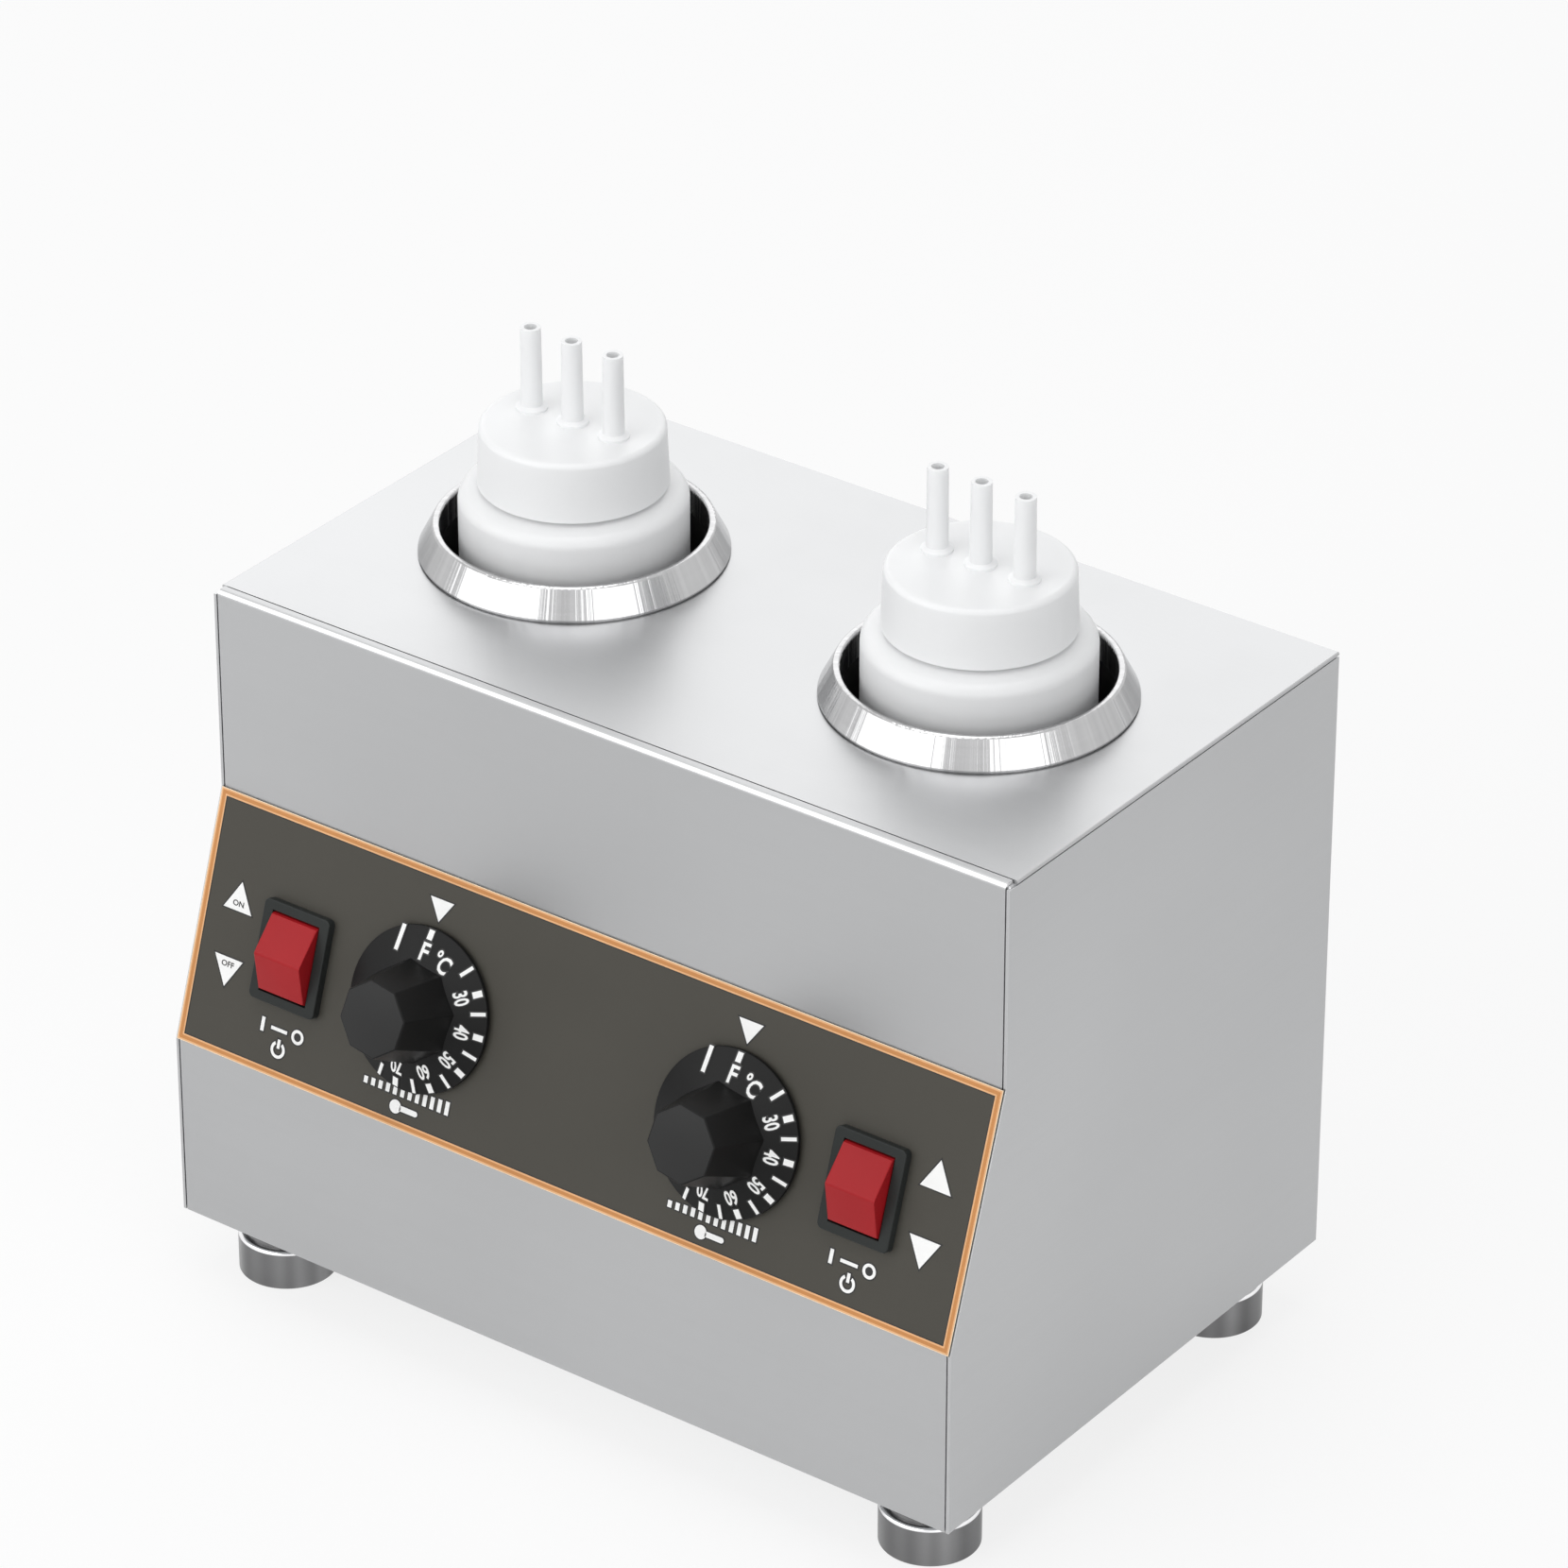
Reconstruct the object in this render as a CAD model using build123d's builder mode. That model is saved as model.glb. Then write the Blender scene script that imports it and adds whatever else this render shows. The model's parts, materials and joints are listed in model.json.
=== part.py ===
from build123d import *
import os
from math import cos, radians, sin, sqrt

os.makedirs("parts", exist_ok=True)

# Two-bottle topping warmer: a folded sheet case on four feet, with two heated wells.
# Millimetres and degrees. Z is up from the counter, the controls face -Y, and the
# origin is the middle of the whole footprint at the undersides of the feet.

# ---- Driving dimensions -------------------------------------------------------------

# case
case_width = 300.0
case_depth = 200.0
case_height = 213.1
lower_height = 63.8        # upright strip below the control panel
panel_length = 84.0        # control panel, up its slope
panel_lean = 18.4          # control panel from upright
sheet = 1.0
fold_radius = 1.8          # outside of each fold
seam = 0.5                 # open line between neighbouring sheets
sheet_fit = 0.1            # sheet laid on sheet
flange_depth = 12.0
top_edge = 0.6             # rounding along the ends of the top sheet
lip_height = 10.0          # upturned edges of the base plate
vent_length = 26.0
vent_width = 3.6
vent_pitch = 9.0
vent_rows = 7
vent_columns = 3
vent_column_pitch = 39.0
vent_centre = 119.3        # above the underside of the case
rear_screw_low = 36.0      # above the underside of the case
rear_screw_drop = 24.0     # below the top

# feet
foot_height = 23.7
foot_radius = 15.9
foot_neck_radius = 14.0
foot_neck_height = 10.0
foot_edge = 1.6
foot_inset_x = 23.3
foot_inset_y = 23.2
foot_recess_radius = 7.0
foot_recess_depth = 8.0

# wells and the rings round their mouths
well_spacing = 154.2
well_back = 113.7          # well axis behind the lower front face
well_radius = 41.7
well_depth = 157.3
well_wall = 1.0
well_floor = 1.2
well_corner = 3.0
well_hole_gap = 0.4
ring_base_radius = 48.7
ring_rim_radius = 44.0
ring_height = 10.0
ring_sheet = 1.3
ring_edge = 1.1
ring_roll = 2.0            # metal under the rim
ring_foot = 1.6            # from its outer edge to the inside of its foot
ring_undercut = 0.7        # its foot set back from its outer edge
ring_lift = 0.5            # its outer edge above the top sheet
ring_lip = 0.5             # upright outer edge

# heater bands
band_height = 60.0
band_thickness = 2.4
band_lift = 14.0           # above the underside of the well floor
band_split = 12.0
band_lug = 9.0
band_fit = 0.1
band_facing = -60.0        # where the split faces, from +X
band_sink = 1.0            # root of each lug inside the band
terminal_turn = 24.0       # each side of the split
terminal_rise = 45.0       # above the foot of the band
terminal_radius = 3.2
terminal_length = 9.0

# thermal cut-outs under the wells
cutout_radius = 8.0
cutout_height = 8.5
cutout_flange = 1.0
cutout_ear_pitch = 24.0
cutout_ear_width = 7.0
cutout_tab_pitch = 9.0
cutout_tab_length = 8.0
stud_radius = 1.5
stud_nut_radius = 2.8
stud_nut_thickness = 2.4
stud_tip = 1.2             # past its nut

# bottles
bottle_radius = 36.0
bottle_wall = 1.5
bottle_body = 178.0        # base to the corner of the shoulder
bottle_corner = 4.5
push_up = 2.5
push_up_radius = 26.0
stand_radius = 29.5
shoulder_rise = 3.2
shoulder_edge = 4.0
neck_foot_edge = 0.5
neck_radius = 26.4
neck_height = 15.9
bottle_gap = 0.3           # bottle to the well floor

# caps and their seals
cap_skirt_radius = 29.9
cap_top_radius = 29.1
cap_height = 19.6
cap_wall = 1.6
cap_edge = 1.8
cap_gap = 0.4              # cap skirt to the shoulder
seal_thickness = 1.4
seal_gap = 0.3
nozzle_pitch = 16.0
nozzle_height = 28.0
nozzle_root_radius = 3.45
nozzle_tip_radius = 3.25
nozzle_bore_radius = 2.0
nozzle_collar_radius = 5.0
nozzle_collar_height = 1.6

# control panel film
film = 0.4
film_margin = 0.5

# dials
dial_spacing = 118.4
dial_rise = 40.0           # up the slope from the lower fold
skirt_radius = 26.5
skirt_gap = 0.8
skirt_rim = 1.6
skirt_rise = 5.6
skirt_top_radius = 14.6
skirt_wall = 1.5
grip_root_radius = 16.6
grip_nose_radius = 12.4
grip_turn = 13.5           # first corner of the octagon from +X
knob_height = 25.6
grip_sink = 1.0            # foot of the grip inside the skirt
grip_edge = 0.5
grip_roof = 4.5
hub_radius = 5.6

# thermostats
shaft_radius = 3.0
shaft_flat = 0.9
shaft_fit = 0.06
bush_radius = 5.0
bush_length = 7.0
bush_gap = 0.3             # round the bush and at the ends of the shaft
thermo_width = 37.0
thermo_height = 33.0
thermo_depth = 24.0
thermo_box_width = 24.0
thermo_box_height = 29.0
thermo_corner = 3.6
thermo_plate = 1.5
thermo_screw_pitch = 28.0
thermo_screw_radius = 2.0
thermo_screw_length = 4.5  # behind the sheet
bulb_radius = 3.0
bulb_length = 56.0
bulb_end = 1.5             # rounding of its ends
bulb_drop = 16.0           # its top below the top sheet
bulb_facing = 260.0        # round the pot, from +X
bulb_sleeve = 0.6
bulb_fit = 0.1
capillary_radius = 0.9
capillary_bend = 5.0
capillary_drop = 9.0       # below the bulb
capillary_clear = 12.0     # in front of the pot and behind the thermostat

# switches
switch_spacing = 220.4
switch_rise = 39.85
bezel_width = 26.0
bezel_height = 32.7
bezel_thickness = 3.0
bezel_corner = 2.0
bezel_edge = 0.4
switch_body_width = 22.0
switch_body_height = 28.0
switch_body_depth = 18.0
rocker_width = 18.0
rocker_length = 23.5
rocker_ridge = 6.3         # above the bezel
rocker_shore = 0.9         # its ends above the bezel
rocker_nose = 1.5
rocker_root = 5.0          # its underside below the bezel
rocker_pivot = 3.0         # its axis below the bezel
rocker_side_gap = 0.4
rocker_end_gap = 0.9
rocker_pin_radius = 1.3
rocker_pin_length = 1.5
rocker_pin_fit = 0.06
rocker_cavity = 9.5
blade_width = 6.3
blade_thickness = 0.8
blade_length = 9.0
blade_pitch = 8.0

# mains entry and wiring parts
gland_radius = 7.5
gland_reach = 12.0
gland_bore = 3.6
gland_nut_radius = 11.0
gland_nut_thickness = 5.0
gland_chamfer = 1.5
gland_x = 100.0
gland_z = 32.0             # above the underside of the case
block_length = 46.0
block_width = 20.0
block_height = 16.0
block_base = 8.0
block_ways = 4
block_slot = 2.0           # between neighbouring ways
block_ledge = 2.0          # base in front of and behind the ways
block_back = 48.0          # its middle in front of the rear sheet
earth_gap = 24.0           # earth stud beside the end of the terminal block
earth_radius = 2.5
earth_height = 14.0
earth_nut_radius = 4.6
earth_nut_thickness = 4.0
earth_tag_room = 3.0       # for the ring tags under its nut
lead_radius = 1.2          # sleeved heater lead
lead_bend = 12.0
lead_out = 14.0            # straight out of its ceramic terminal

# screws
screw_radius = 2.0
screw_head_radius = 3.8
screw_head_height = 2.2
screw_head_edge = 1.0
screw_tip = 4.0            # past the face that the head bears on
foot_screw_radius = 2.5
foot_screw_head = 4.8
foot_screw_head_height = 3.3
foot_screw_tip = 2.0       # past its nut
nut_flats_radius = 4.4
nut_thickness = 4.0

# ---- Worked out from them -----------------------------------------------------------

lean_sin = sin(radians(panel_lean))
lean_cos = cos(radians(panel_lean))
panel_rise = panel_length * lean_cos
panel_setback = panel_length * lean_sin

grip_corners = [grip_turn + 45 * k for k in range(8)]
grip_drop = grip_nose_radius * max(-sin(radians(a)) for a in grip_corners)
knob_reach = (film + knob_height) * lean_cos + (grip_drop - dial_rise) * lean_sin

base_z = foot_height
top_z = base_z + case_height
front_y = -(case_depth + gland_reach - knob_reach) / 2
back_y = front_y + case_depth
upper_y = front_y + panel_setback
panel_z = base_z + lower_height
half_width = case_width / 2
inner_half = half_width - sheet - seam
flange_x = half_width - flange_depth / 2 - sheet     # middle of the side pans' folded edges
rear_screw_heights = (base_z + rear_screw_low, top_z - rear_screw_drop)
well_y = front_y + well_back
well_floor_z = top_z - well_depth
well_outer = well_radius + well_wall
flange_radius = ring_base_radius - 2 * ring_sheet

sides = (("left", -1), ("right", 1))

panel_plane = Plane(origin=(0, front_y, panel_z), x_dir=(1, 0, 0), z_dir=(0, -lean_cos, lean_sin))


def panel_spot(x, rise):
    # a plane on the sloping sheet, x from the middle and so far up the slope
    return Plane(
        origin=panel_plane.from_local_coords((x, rise, 0)),
        x_dir=(1, 0, 0),
        z_dir=panel_plane.z_dir,
    )


def turning(plane):
    # the half plane for a turned profile: radius along x, height along the plane's normal
    return Plane(origin=plane.origin, x_dir=plane.x_dir, z_dir=-plane.y_dir)


def upright(x, y, z):
    # a level plane at a point, for pieces that stand on end
    return Plane(origin=(x, y, z), x_dir=(1, 0, 0), z_dir=(0, 0, 1))


def save(builder, name):
    builder.part.label = name
    export_step(builder.part, f"parts/{name}.step")


case_outline = [
    (front_y, base_z),
    (front_y, panel_z),
    (upper_y, panel_z + panel_rise),
    (upper_y, top_z),
    (back_y, top_z),
    (back_y, base_z),
]
side_top = top_z - sheet - seam

# ---- Case ---------------------------------------------------------------------------

# front: one folded sheet, with the control panel leaning back between two upright strips
with BuildPart() as front_panel:
    with BuildSketch(Plane.YZ) as front_section:
        with BuildLine() as front_line:
            FilletPolyline(
                (upper_y + 2 * fold_radius, top_z),
                (upper_y, top_z),
                (upper_y, panel_z + panel_rise),
                (front_y, panel_z),
                (front_y, base_z),
                radius=[fold_radius, fold_radius, fold_radius],
            )
            offset(amount=sheet, side=Side.LEFT, closed=True)
        make_face()
    extrude(amount=inner_half, both=True)
    for side, sign in sides:
        with BuildSketch(panel_spot(sign * dial_spacing / 2, dial_rise)) as dial_holes:
            Circle(bush_radius + sheet_fit)
            with GridLocations(thermo_screw_pitch, 0, 2, 1):
                Circle(thermo_screw_radius + sheet_fit)
        extrude(amount=2 * sheet, both=True, mode=Mode.SUBTRACT)
        with BuildSketch(panel_spot(sign * switch_spacing / 2, switch_rise)) as switch_hole:
            Rectangle(switch_body_width + 2 * sheet_fit, switch_body_height + 2 * sheet_fit)
        extrude(amount=2 * sheet, both=True, mode=Mode.SUBTRACT)
save(front_panel, "front_panel")

# sides: pans whose folded edges lie inside the front, top, rear and base
for side, sign in sides:
    with BuildPart() as side_panel:
        with BuildSketch(Plane.YZ.offset(sign * half_width)) as side_face:
            with BuildLine():
                Polyline(*case_outline, close=True)
            make_face()
            with Locations((0, (side_top + top_z) / 2 + sheet)):
                Rectangle(2 * case_depth, top_z - side_top + 2 * sheet, mode=Mode.SUBTRACT)
        extrude(amount=-sign * sheet)
        with BuildSketch(Plane.YZ.offset(sign * (half_width - sheet / 2))) as edge_flange:
            with BuildLine():
                Polyline(*case_outline, close=True)
            make_face()
            offset(amount=-(sheet + sheet_fit), kind=Kind.INTERSECTION)
            offset(amount=-sheet, kind=Kind.INTERSECTION, mode=Mode.SUBTRACT)
            fillet(edge_flange.face().outer_wire().vertices(), radius=fold_radius - sheet - sheet_fit)
        extrude(amount=-sign * (flange_depth - sheet / 2))
        with BuildSketch(Plane.XZ.offset(-back_y)) as rear_screw_holes:
            with Locations(*[(sign * flange_x, z) for z in rear_screw_heights]):
                Circle(screw_radius)
        extrude(amount=flange_depth / 2, mode=Mode.SUBTRACT)
        with BuildSketch(upright(0, 0, base_z)) as base_screw_holes:
            with Locations((sign * flange_x, front_y + case_depth / 2)):
                Circle(screw_radius)
        extrude(amount=screw_tip, mode=Mode.SUBTRACT)
    save(side_panel, f"{side}_side_panel")

# top: a flat sheet over the side pans, with a down-turned edge behind the front fold
top_front_y = upper_y + 2 * fold_radius + seam
with BuildPart() as top_panel:
    with BuildSketch(upright(0, 0, top_z)) as top_face:
        with Locations((0, (top_front_y + back_y) / 2)):
            Rectangle(case_width, back_y - top_front_y)
        with Locations((-well_spacing / 2, well_y), (well_spacing / 2, well_y)):
            Circle(well_outer + well_hole_gap, mode=Mode.SUBTRACT)
    extrude(amount=-sheet)
    fillet(top_panel.edges().filter_by(Axis.Y).group_by(Axis.Z)[-1], radius=top_edge)
    with BuildSketch(upright(0, 0, top_z - sheet / 2)) as front_lip:
        with Locations((0, top_front_y + sheet / 2)):
            Rectangle(2 * (half_width - sheet - flange_depth - seam), sheet)
    extrude(amount=-(lip_height - sheet / 2))
save(top_panel, "top_panel")

# rear: a flat service panel with rows of vent slots, held by four screws
with BuildPart() as rear_panel:
    with BuildSketch(Plane.XZ.offset(-back_y)) as rear_face:
        with Locations((0, (base_z + side_top) / 2)):
            Rectangle(2 * inner_half, side_top - base_z)
        with Locations((0, base_z + vent_centre)):
            with GridLocations(vent_column_pitch, vent_pitch, vent_columns, vent_rows):
                SlotOverall(vent_length, vent_width, mode=Mode.SUBTRACT)
        with Locations((gland_x, base_z + gland_z)):
            Circle(gland_radius + sheet_fit, mode=Mode.SUBTRACT)
        for side, sign in sides:
            with Locations(*[(sign * flange_x, z) for z in rear_screw_heights]):
                Circle(screw_radius + sheet_fit, mode=Mode.SUBTRACT)
    extrude(amount=sheet)
save(rear_panel, "rear_panel")

# base: a plate inside the skirts, under the pans' lower edges, with upturned lips
base_half_width = half_width - sheet - sheet_fit
lip_half_width = half_width - flange_depth - 2 * sheet
foot_x = half_width - foot_inset_x
foot_front_y = front_y + foot_inset_y
foot_back_y = back_y - foot_inset_y
foot_spots = [(sx * foot_x, y) for y in (foot_front_y, foot_back_y) for sx in (-1, 1)]
base_front_y = front_y + sheet + sheet_fit
base_back_y = back_y - sheet - sheet_fit
with BuildPart() as base_plate:
    with BuildSketch(upright(0, 0, base_z)) as base_face:
        with Locations((0, (base_front_y + base_back_y) / 2)):
            Rectangle(2 * base_half_width, base_back_y - base_front_y)
        with Locations((0, (front_y + back_y) / 2)):
            with GridLocations(vent_column_pitch, vent_pitch, vent_columns, vent_rows):
                SlotOverall(vent_length, vent_width, mode=Mode.SUBTRACT)
        with Locations(*foot_spots):
            Circle(foot_screw_radius + sheet_fit, mode=Mode.SUBTRACT)
        for side, sign in sides:
            with Locations((sign * flange_x, front_y + case_depth / 2)):
                Circle(screw_radius + sheet_fit, mode=Mode.SUBTRACT)
    extrude(amount=sheet)
    with BuildSketch(upright(0, 0, base_z)) as base_lips:
        with Locations((0, base_front_y + sheet / 2), (0, base_back_y - sheet / 2)):
            Rectangle(2 * lip_half_width, sheet)
    extrude(amount=lip_height)
save(base_plate, "base_plate")

# ---- Feet ---------------------------------------------------------------------------

foot_names = ("front_left_foot", "front_right_foot", "rear_left_foot", "rear_right_foot")
for foot_name, (x, y) in zip(foot_names, foot_spots):
    foot_plane = upright(x, y, 0)
    with BuildPart() as foot:
        with BuildSketch(turning(foot_plane)) as foot_section:
            with BuildLine():
                Polyline(
                    (foot_screw_radius + sheet_fit, foot_recess_depth),
                    (foot_recess_radius, foot_recess_depth),
                    (foot_recess_radius, 0),
                    (foot_radius, 0),
                    (foot_radius, foot_height - foot_neck_height),
                    (foot_neck_radius, foot_height - foot_neck_height),
                    (foot_neck_radius, foot_height),
                    (foot_screw_radius + sheet_fit, foot_height),
                    close=True,
                )
            make_face()
            fillet(foot_section.vertices().group_by(Axis.X)[-1].sort_by(Axis.Y)[-1], radius=foot_edge)
        revolve(axis=Axis(foot_plane.origin, foot_plane.z_dir))
    save(foot, foot_name)

with BuildPart() as foot_screws:
    for x, y in foot_spots:
        with BuildSketch(upright(x, y, foot_recess_depth)) as head:
            Circle(foot_screw_head)
        extrude(amount=-foot_screw_head_height)
        with BuildSketch(upright(x, y, foot_recess_depth)) as shank:
            Circle(foot_screw_radius)
        extrude(amount=base_z + sheet + nut_thickness + foot_screw_tip - foot_recess_depth)
save(foot_screws, "foot_screws")

with BuildPart() as foot_nuts:
    for x, y in foot_spots:
        with BuildSketch(upright(x, y, base_z + sheet)) as nut:
            RegularPolygon(nut_flats_radius, 6)
            Circle(foot_screw_radius, mode=Mode.SUBTRACT)
        extrude(amount=nut_thickness)
save(foot_nuts, "foot_nuts")

# ---- Wells, rings and heater bands --------------------------------------------------

for side, sign in sides:
    well_x = sign * well_spacing / 2
    well_plane = upright(well_x, well_y, top_z)
    well_axis = Axis(well_plane.origin, well_plane.z_dir)

    # deep drawn pot, hung by its flange on the top sheet
    with BuildPart() as well:
        with BuildSketch(turning(well_plane)) as well_section:
            with BuildLine():
                FilletPolyline(
                    (0, -well_depth - well_floor),
                    (well_outer, -well_depth - well_floor),
                    (well_outer, 0),
                    radius=well_corner,
                )
                offset(amount=well_wall, side=Side.LEFT, closed=True)
            make_face()
            with Locations(((well_radius + flange_radius) / 2, well_wall / 2)):
                Rectangle(flange_radius - well_radius, well_wall)
        revolve(axis=well_axis)
    save(well, f"{side}_well")

    # spun ring over the flange: an undercut foot, a cone, a rolled rim and an inner wall
    with BuildPart() as ring:
        with BuildSketch(turning(well_plane)) as ring_section:
            with BuildLine():
                Polyline(
                    (ring_base_radius - ring_undercut, 0),
                    (ring_base_radius - ring_undercut, ring_lift),
                    (ring_base_radius, ring_lift),
                    (ring_base_radius, ring_lift + ring_lip),
                    (ring_rim_radius, ring_height),
                    (well_radius, ring_height),
                    (well_radius, well_wall),
                    (well_radius + ring_sheet, well_wall),
                    (well_radius + ring_sheet, ring_height - ring_roll),
                    (ring_base_radius - ring_foot, 0),
                    close=True,
                )
            make_face()
            fillet(ring_section.vertices().group_by(Axis.Y)[-1], radius=ring_edge)
        revolve(axis=well_axis)
    save(ring, f"{side}_ring")

    # split heater band clamped round the pot
    band_plane = upright(well_x, well_y, well_floor_z - well_floor + band_lift)
    band_inner = well_outer + band_fit
    band_outer = band_inner + band_thickness
    facing = band_facing if sign > 0 else 180 - band_facing
    split_plane = band_plane.rotated((0, 0, facing))
    lug_plane = Plane(split_plane.origin, x_dir=split_plane.x_dir, z_dir=split_plane.y_dir)
    lug_spot = (band_outer + band_lug / 2, -band_height / 2)
    lug_face = band_split / 2 + sheet
    with BuildPart() as heater_band:
        with BuildSketch(split_plane) as band_section:
            Circle(band_outer)
            with Locations((band_outer + band_lug / 2 - band_sink, 0)):
                Rectangle(band_lug + 2 * band_sink, band_split + 2 * sheet)
            Circle(band_inner, mode=Mode.SUBTRACT)
            with Locations((band_outer, 0)):
                Rectangle(4 * band_lug, band_split, mode=Mode.SUBTRACT)
        extrude(amount=band_height)
        with BuildSketch(lug_plane) as lug_holes:
            with Locations(lug_spot):
                Circle(screw_radius + sheet_fit)
        extrude(amount=band_split, both=True, mode=Mode.SUBTRACT)
    save(heater_band, f"{side}_heater_band")

    with BuildPart() as band_screw:
        with BuildSketch(lug_plane.offset(-lug_face)) as bolt:
            with Locations(lug_spot):
                Circle(screw_radius)
        extrude(amount=2 * lug_face + nut_thickness + foot_screw_tip)
        with BuildSketch(lug_plane.offset(-lug_face)) as bolt_head:
            with Locations(lug_spot):
                Circle(screw_head_radius)
        extrude(amount=-screw_head_height)
        with BuildSketch(lug_plane.offset(lug_face)) as bolt_nut:
            with Locations(lug_spot):
                RegularPolygon(screw_head_radius, 6)
        extrude(amount=nut_thickness)
    save(band_screw, f"{side}_band_screw")

    # ceramic terminals stand out of the band beside its split
    with BuildPart() as terminals:
        for turn in (-terminal_turn, terminal_turn):
            post = split_plane.rotated((0, 0, turn))
            post_foot = post.from_local_coords((band_outer, 0, terminal_rise))
            with BuildSketch(Plane(post_foot, x_dir=(0, 0, 1), z_dir=post.x_dir)) as terminal:
                Circle(terminal_radius)
            extrude(amount=terminal_length)
    save(terminals, f"{side}_band_terminals")

    # snap-disc thermal cut-out held under the pot by two welded studs and their nuts
    pot_plane = Plane(origin=(well_x, well_y, well_floor_z - well_floor), x_dir=(1, 0, 0), z_dir=(0, 0, -1))
    ear_spots = ((-cutout_ear_pitch / 2, 0), (cutout_ear_pitch / 2, 0))
    with BuildPart() as cutout:
        with BuildSketch(pot_plane) as cutout_ears:
            SlotOverall(cutout_ear_pitch + cutout_ear_width, cutout_ear_width)
            Circle(cutout_radius)
            with Locations(*ear_spots):
                Circle(stud_radius, mode=Mode.SUBTRACT)
        extrude(amount=cutout_flange)
        with BuildSketch(pot_plane.offset(cutout_flange)) as cutout_can:
            Circle(cutout_radius - cutout_flange)
        extrude(amount=cutout_height)
        with BuildSketch(pot_plane.offset(cutout_flange + cutout_height)) as cutout_tabs:
            with Locations((-cutout_tab_pitch / 2, 0), (cutout_tab_pitch / 2, 0)):
                Rectangle(blade_thickness, blade_width)
        extrude(amount=cutout_tab_length)
    save(cutout, f"{side}_thermal_cutout")

    with BuildPart() as studs:
        with BuildSketch(pot_plane) as stud_faces:
            with Locations(*ear_spots):
                Circle(stud_radius)
        extrude(amount=cutout_flange + stud_nut_thickness + stud_tip)
        with BuildSketch(pot_plane.offset(cutout_flange)) as stud_nuts:
            with Locations(*ear_spots):
                RegularPolygon(stud_nut_radius, 6)
        extrude(amount=stud_nut_thickness)
    save(studs, f"{side}_cutout_studs")

# ---- Bottles, seals and caps --------------------------------------------------------

bottle_z = well_floor_z + bottle_gap
shoulder_z = bottle_z + bottle_body
neck_z = shoulder_z + shoulder_rise
lip_z = neck_z + neck_height
cap_z = neck_z + cap_gap
neck_bore = neck_radius - bottle_wall
cap_bore = cap_top_radius - cap_wall

for side, sign in sides:
    bottle_plane = upright(sign * well_spacing / 2, well_y, bottle_z)
    bottle_axis = Axis(bottle_plane.origin, bottle_plane.z_dir)

    # blown bottle: pushed-up base, straight body, sloping shoulder and open neck
    with BuildPart() as bottle:
        with BuildSketch(turning(bottle_plane)) as bottle_section:
            with BuildLine():
                FilletPolyline(
                    (0, push_up),
                    (push_up_radius, push_up),
                    (stand_radius, 0),
                    (bottle_radius, 0),
                    (bottle_radius, bottle_body),
                    (neck_radius, bottle_body + shoulder_rise),
                    (neck_radius, bottle_body + shoulder_rise + neck_height),
                    radius=[push_up, push_up, bottle_corner, shoulder_edge, neck_foot_edge],
                )
                offset(amount=bottle_wall, side=Side.LEFT, closed=True)
            make_face()
        revolve(axis=bottle_axis)
    save(bottle, f"{side}_bottle")

    # flat ring seal between the lip and the roof of the cap
    with BuildPart() as seal:
        with BuildSketch(bottle_plane.offset(lip_z - bottle_z + seal_gap)) as seal_ring:
            Circle(cap_bore - seal_gap)
            Circle(neck_bore, mode=Mode.SUBTRACT)
        extrude(amount=seal_thickness)
    save(seal, f"{side}_cap_seal")

    # screw cap with three nozzles in a row
    cap_plane = upright(sign * well_spacing / 2, well_y, cap_z)
    with BuildPart() as cap:
        with BuildSketch(turning(cap_plane)) as cap_section:
            with BuildLine():
                FilletPolyline(
                    (cap_skirt_radius, 0),
                    (cap_top_radius, cap_height),
                    (0, cap_height),
                    radius=cap_edge,
                )
                offset(amount=cap_wall, side=Side.LEFT, closed=True)
            make_face()
        revolve(axis=Axis(cap_plane.origin, cap_plane.z_dir))
        for k in (-1, 0, 1):
            nozzle_plane = cap_plane.offset(cap_height)
            nozzle_plane.origin += (k * nozzle_pitch, 0, 0)
            with BuildSketch(turning(nozzle_plane)) as nozzle_section:
                with BuildLine():
                    Polyline(
                        (0, -cap_wall / 2),
                        (nozzle_collar_radius, -cap_wall / 2),
                        (nozzle_collar_radius, nozzle_collar_height / 2),
                        (nozzle_root_radius, nozzle_collar_height),
                        (nozzle_tip_radius, nozzle_height),
                        (0, nozzle_height),
                        close=True,
                    )
                make_face()
            revolve(axis=Axis(nozzle_plane.origin, nozzle_plane.z_dir))
            with BuildSketch(nozzle_plane.offset(nozzle_height)) as nozzle_bore:
                Circle(nozzle_bore_radius)
            extrude(amount=-(nozzle_height + 2 * cap_wall), mode=Mode.SUBTRACT)
    save(cap, f"{side}_cap")

# ---- Control panel ------------------------------------------------------------------

# printed film over the whole sloping sheet
with BuildPart() as control_film:
    with BuildSketch(panel_plane) as film_face:
        with Locations((0, panel_length / 2)):
            Rectangle(case_width - 2 * sheet, panel_length - 2 * film_margin)
        with Locations((-dial_spacing / 2, dial_rise), (dial_spacing / 2, dial_rise)):
            Circle(bush_radius + sheet_fit, mode=Mode.SUBTRACT)
            with GridLocations(thermo_screw_pitch, 0, 2, 1):
                Circle(screw_head_radius + sheet_fit, mode=Mode.SUBTRACT)
        with Locations((-switch_spacing / 2, switch_rise), (switch_spacing / 2, switch_rise)):
            Rectangle(switch_body_width + 2 * sheet_fit, switch_body_height + 2 * sheet_fit,
                      mode=Mode.SUBTRACT)
    extrude(amount=film)
save(control_film, "control_film")

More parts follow.
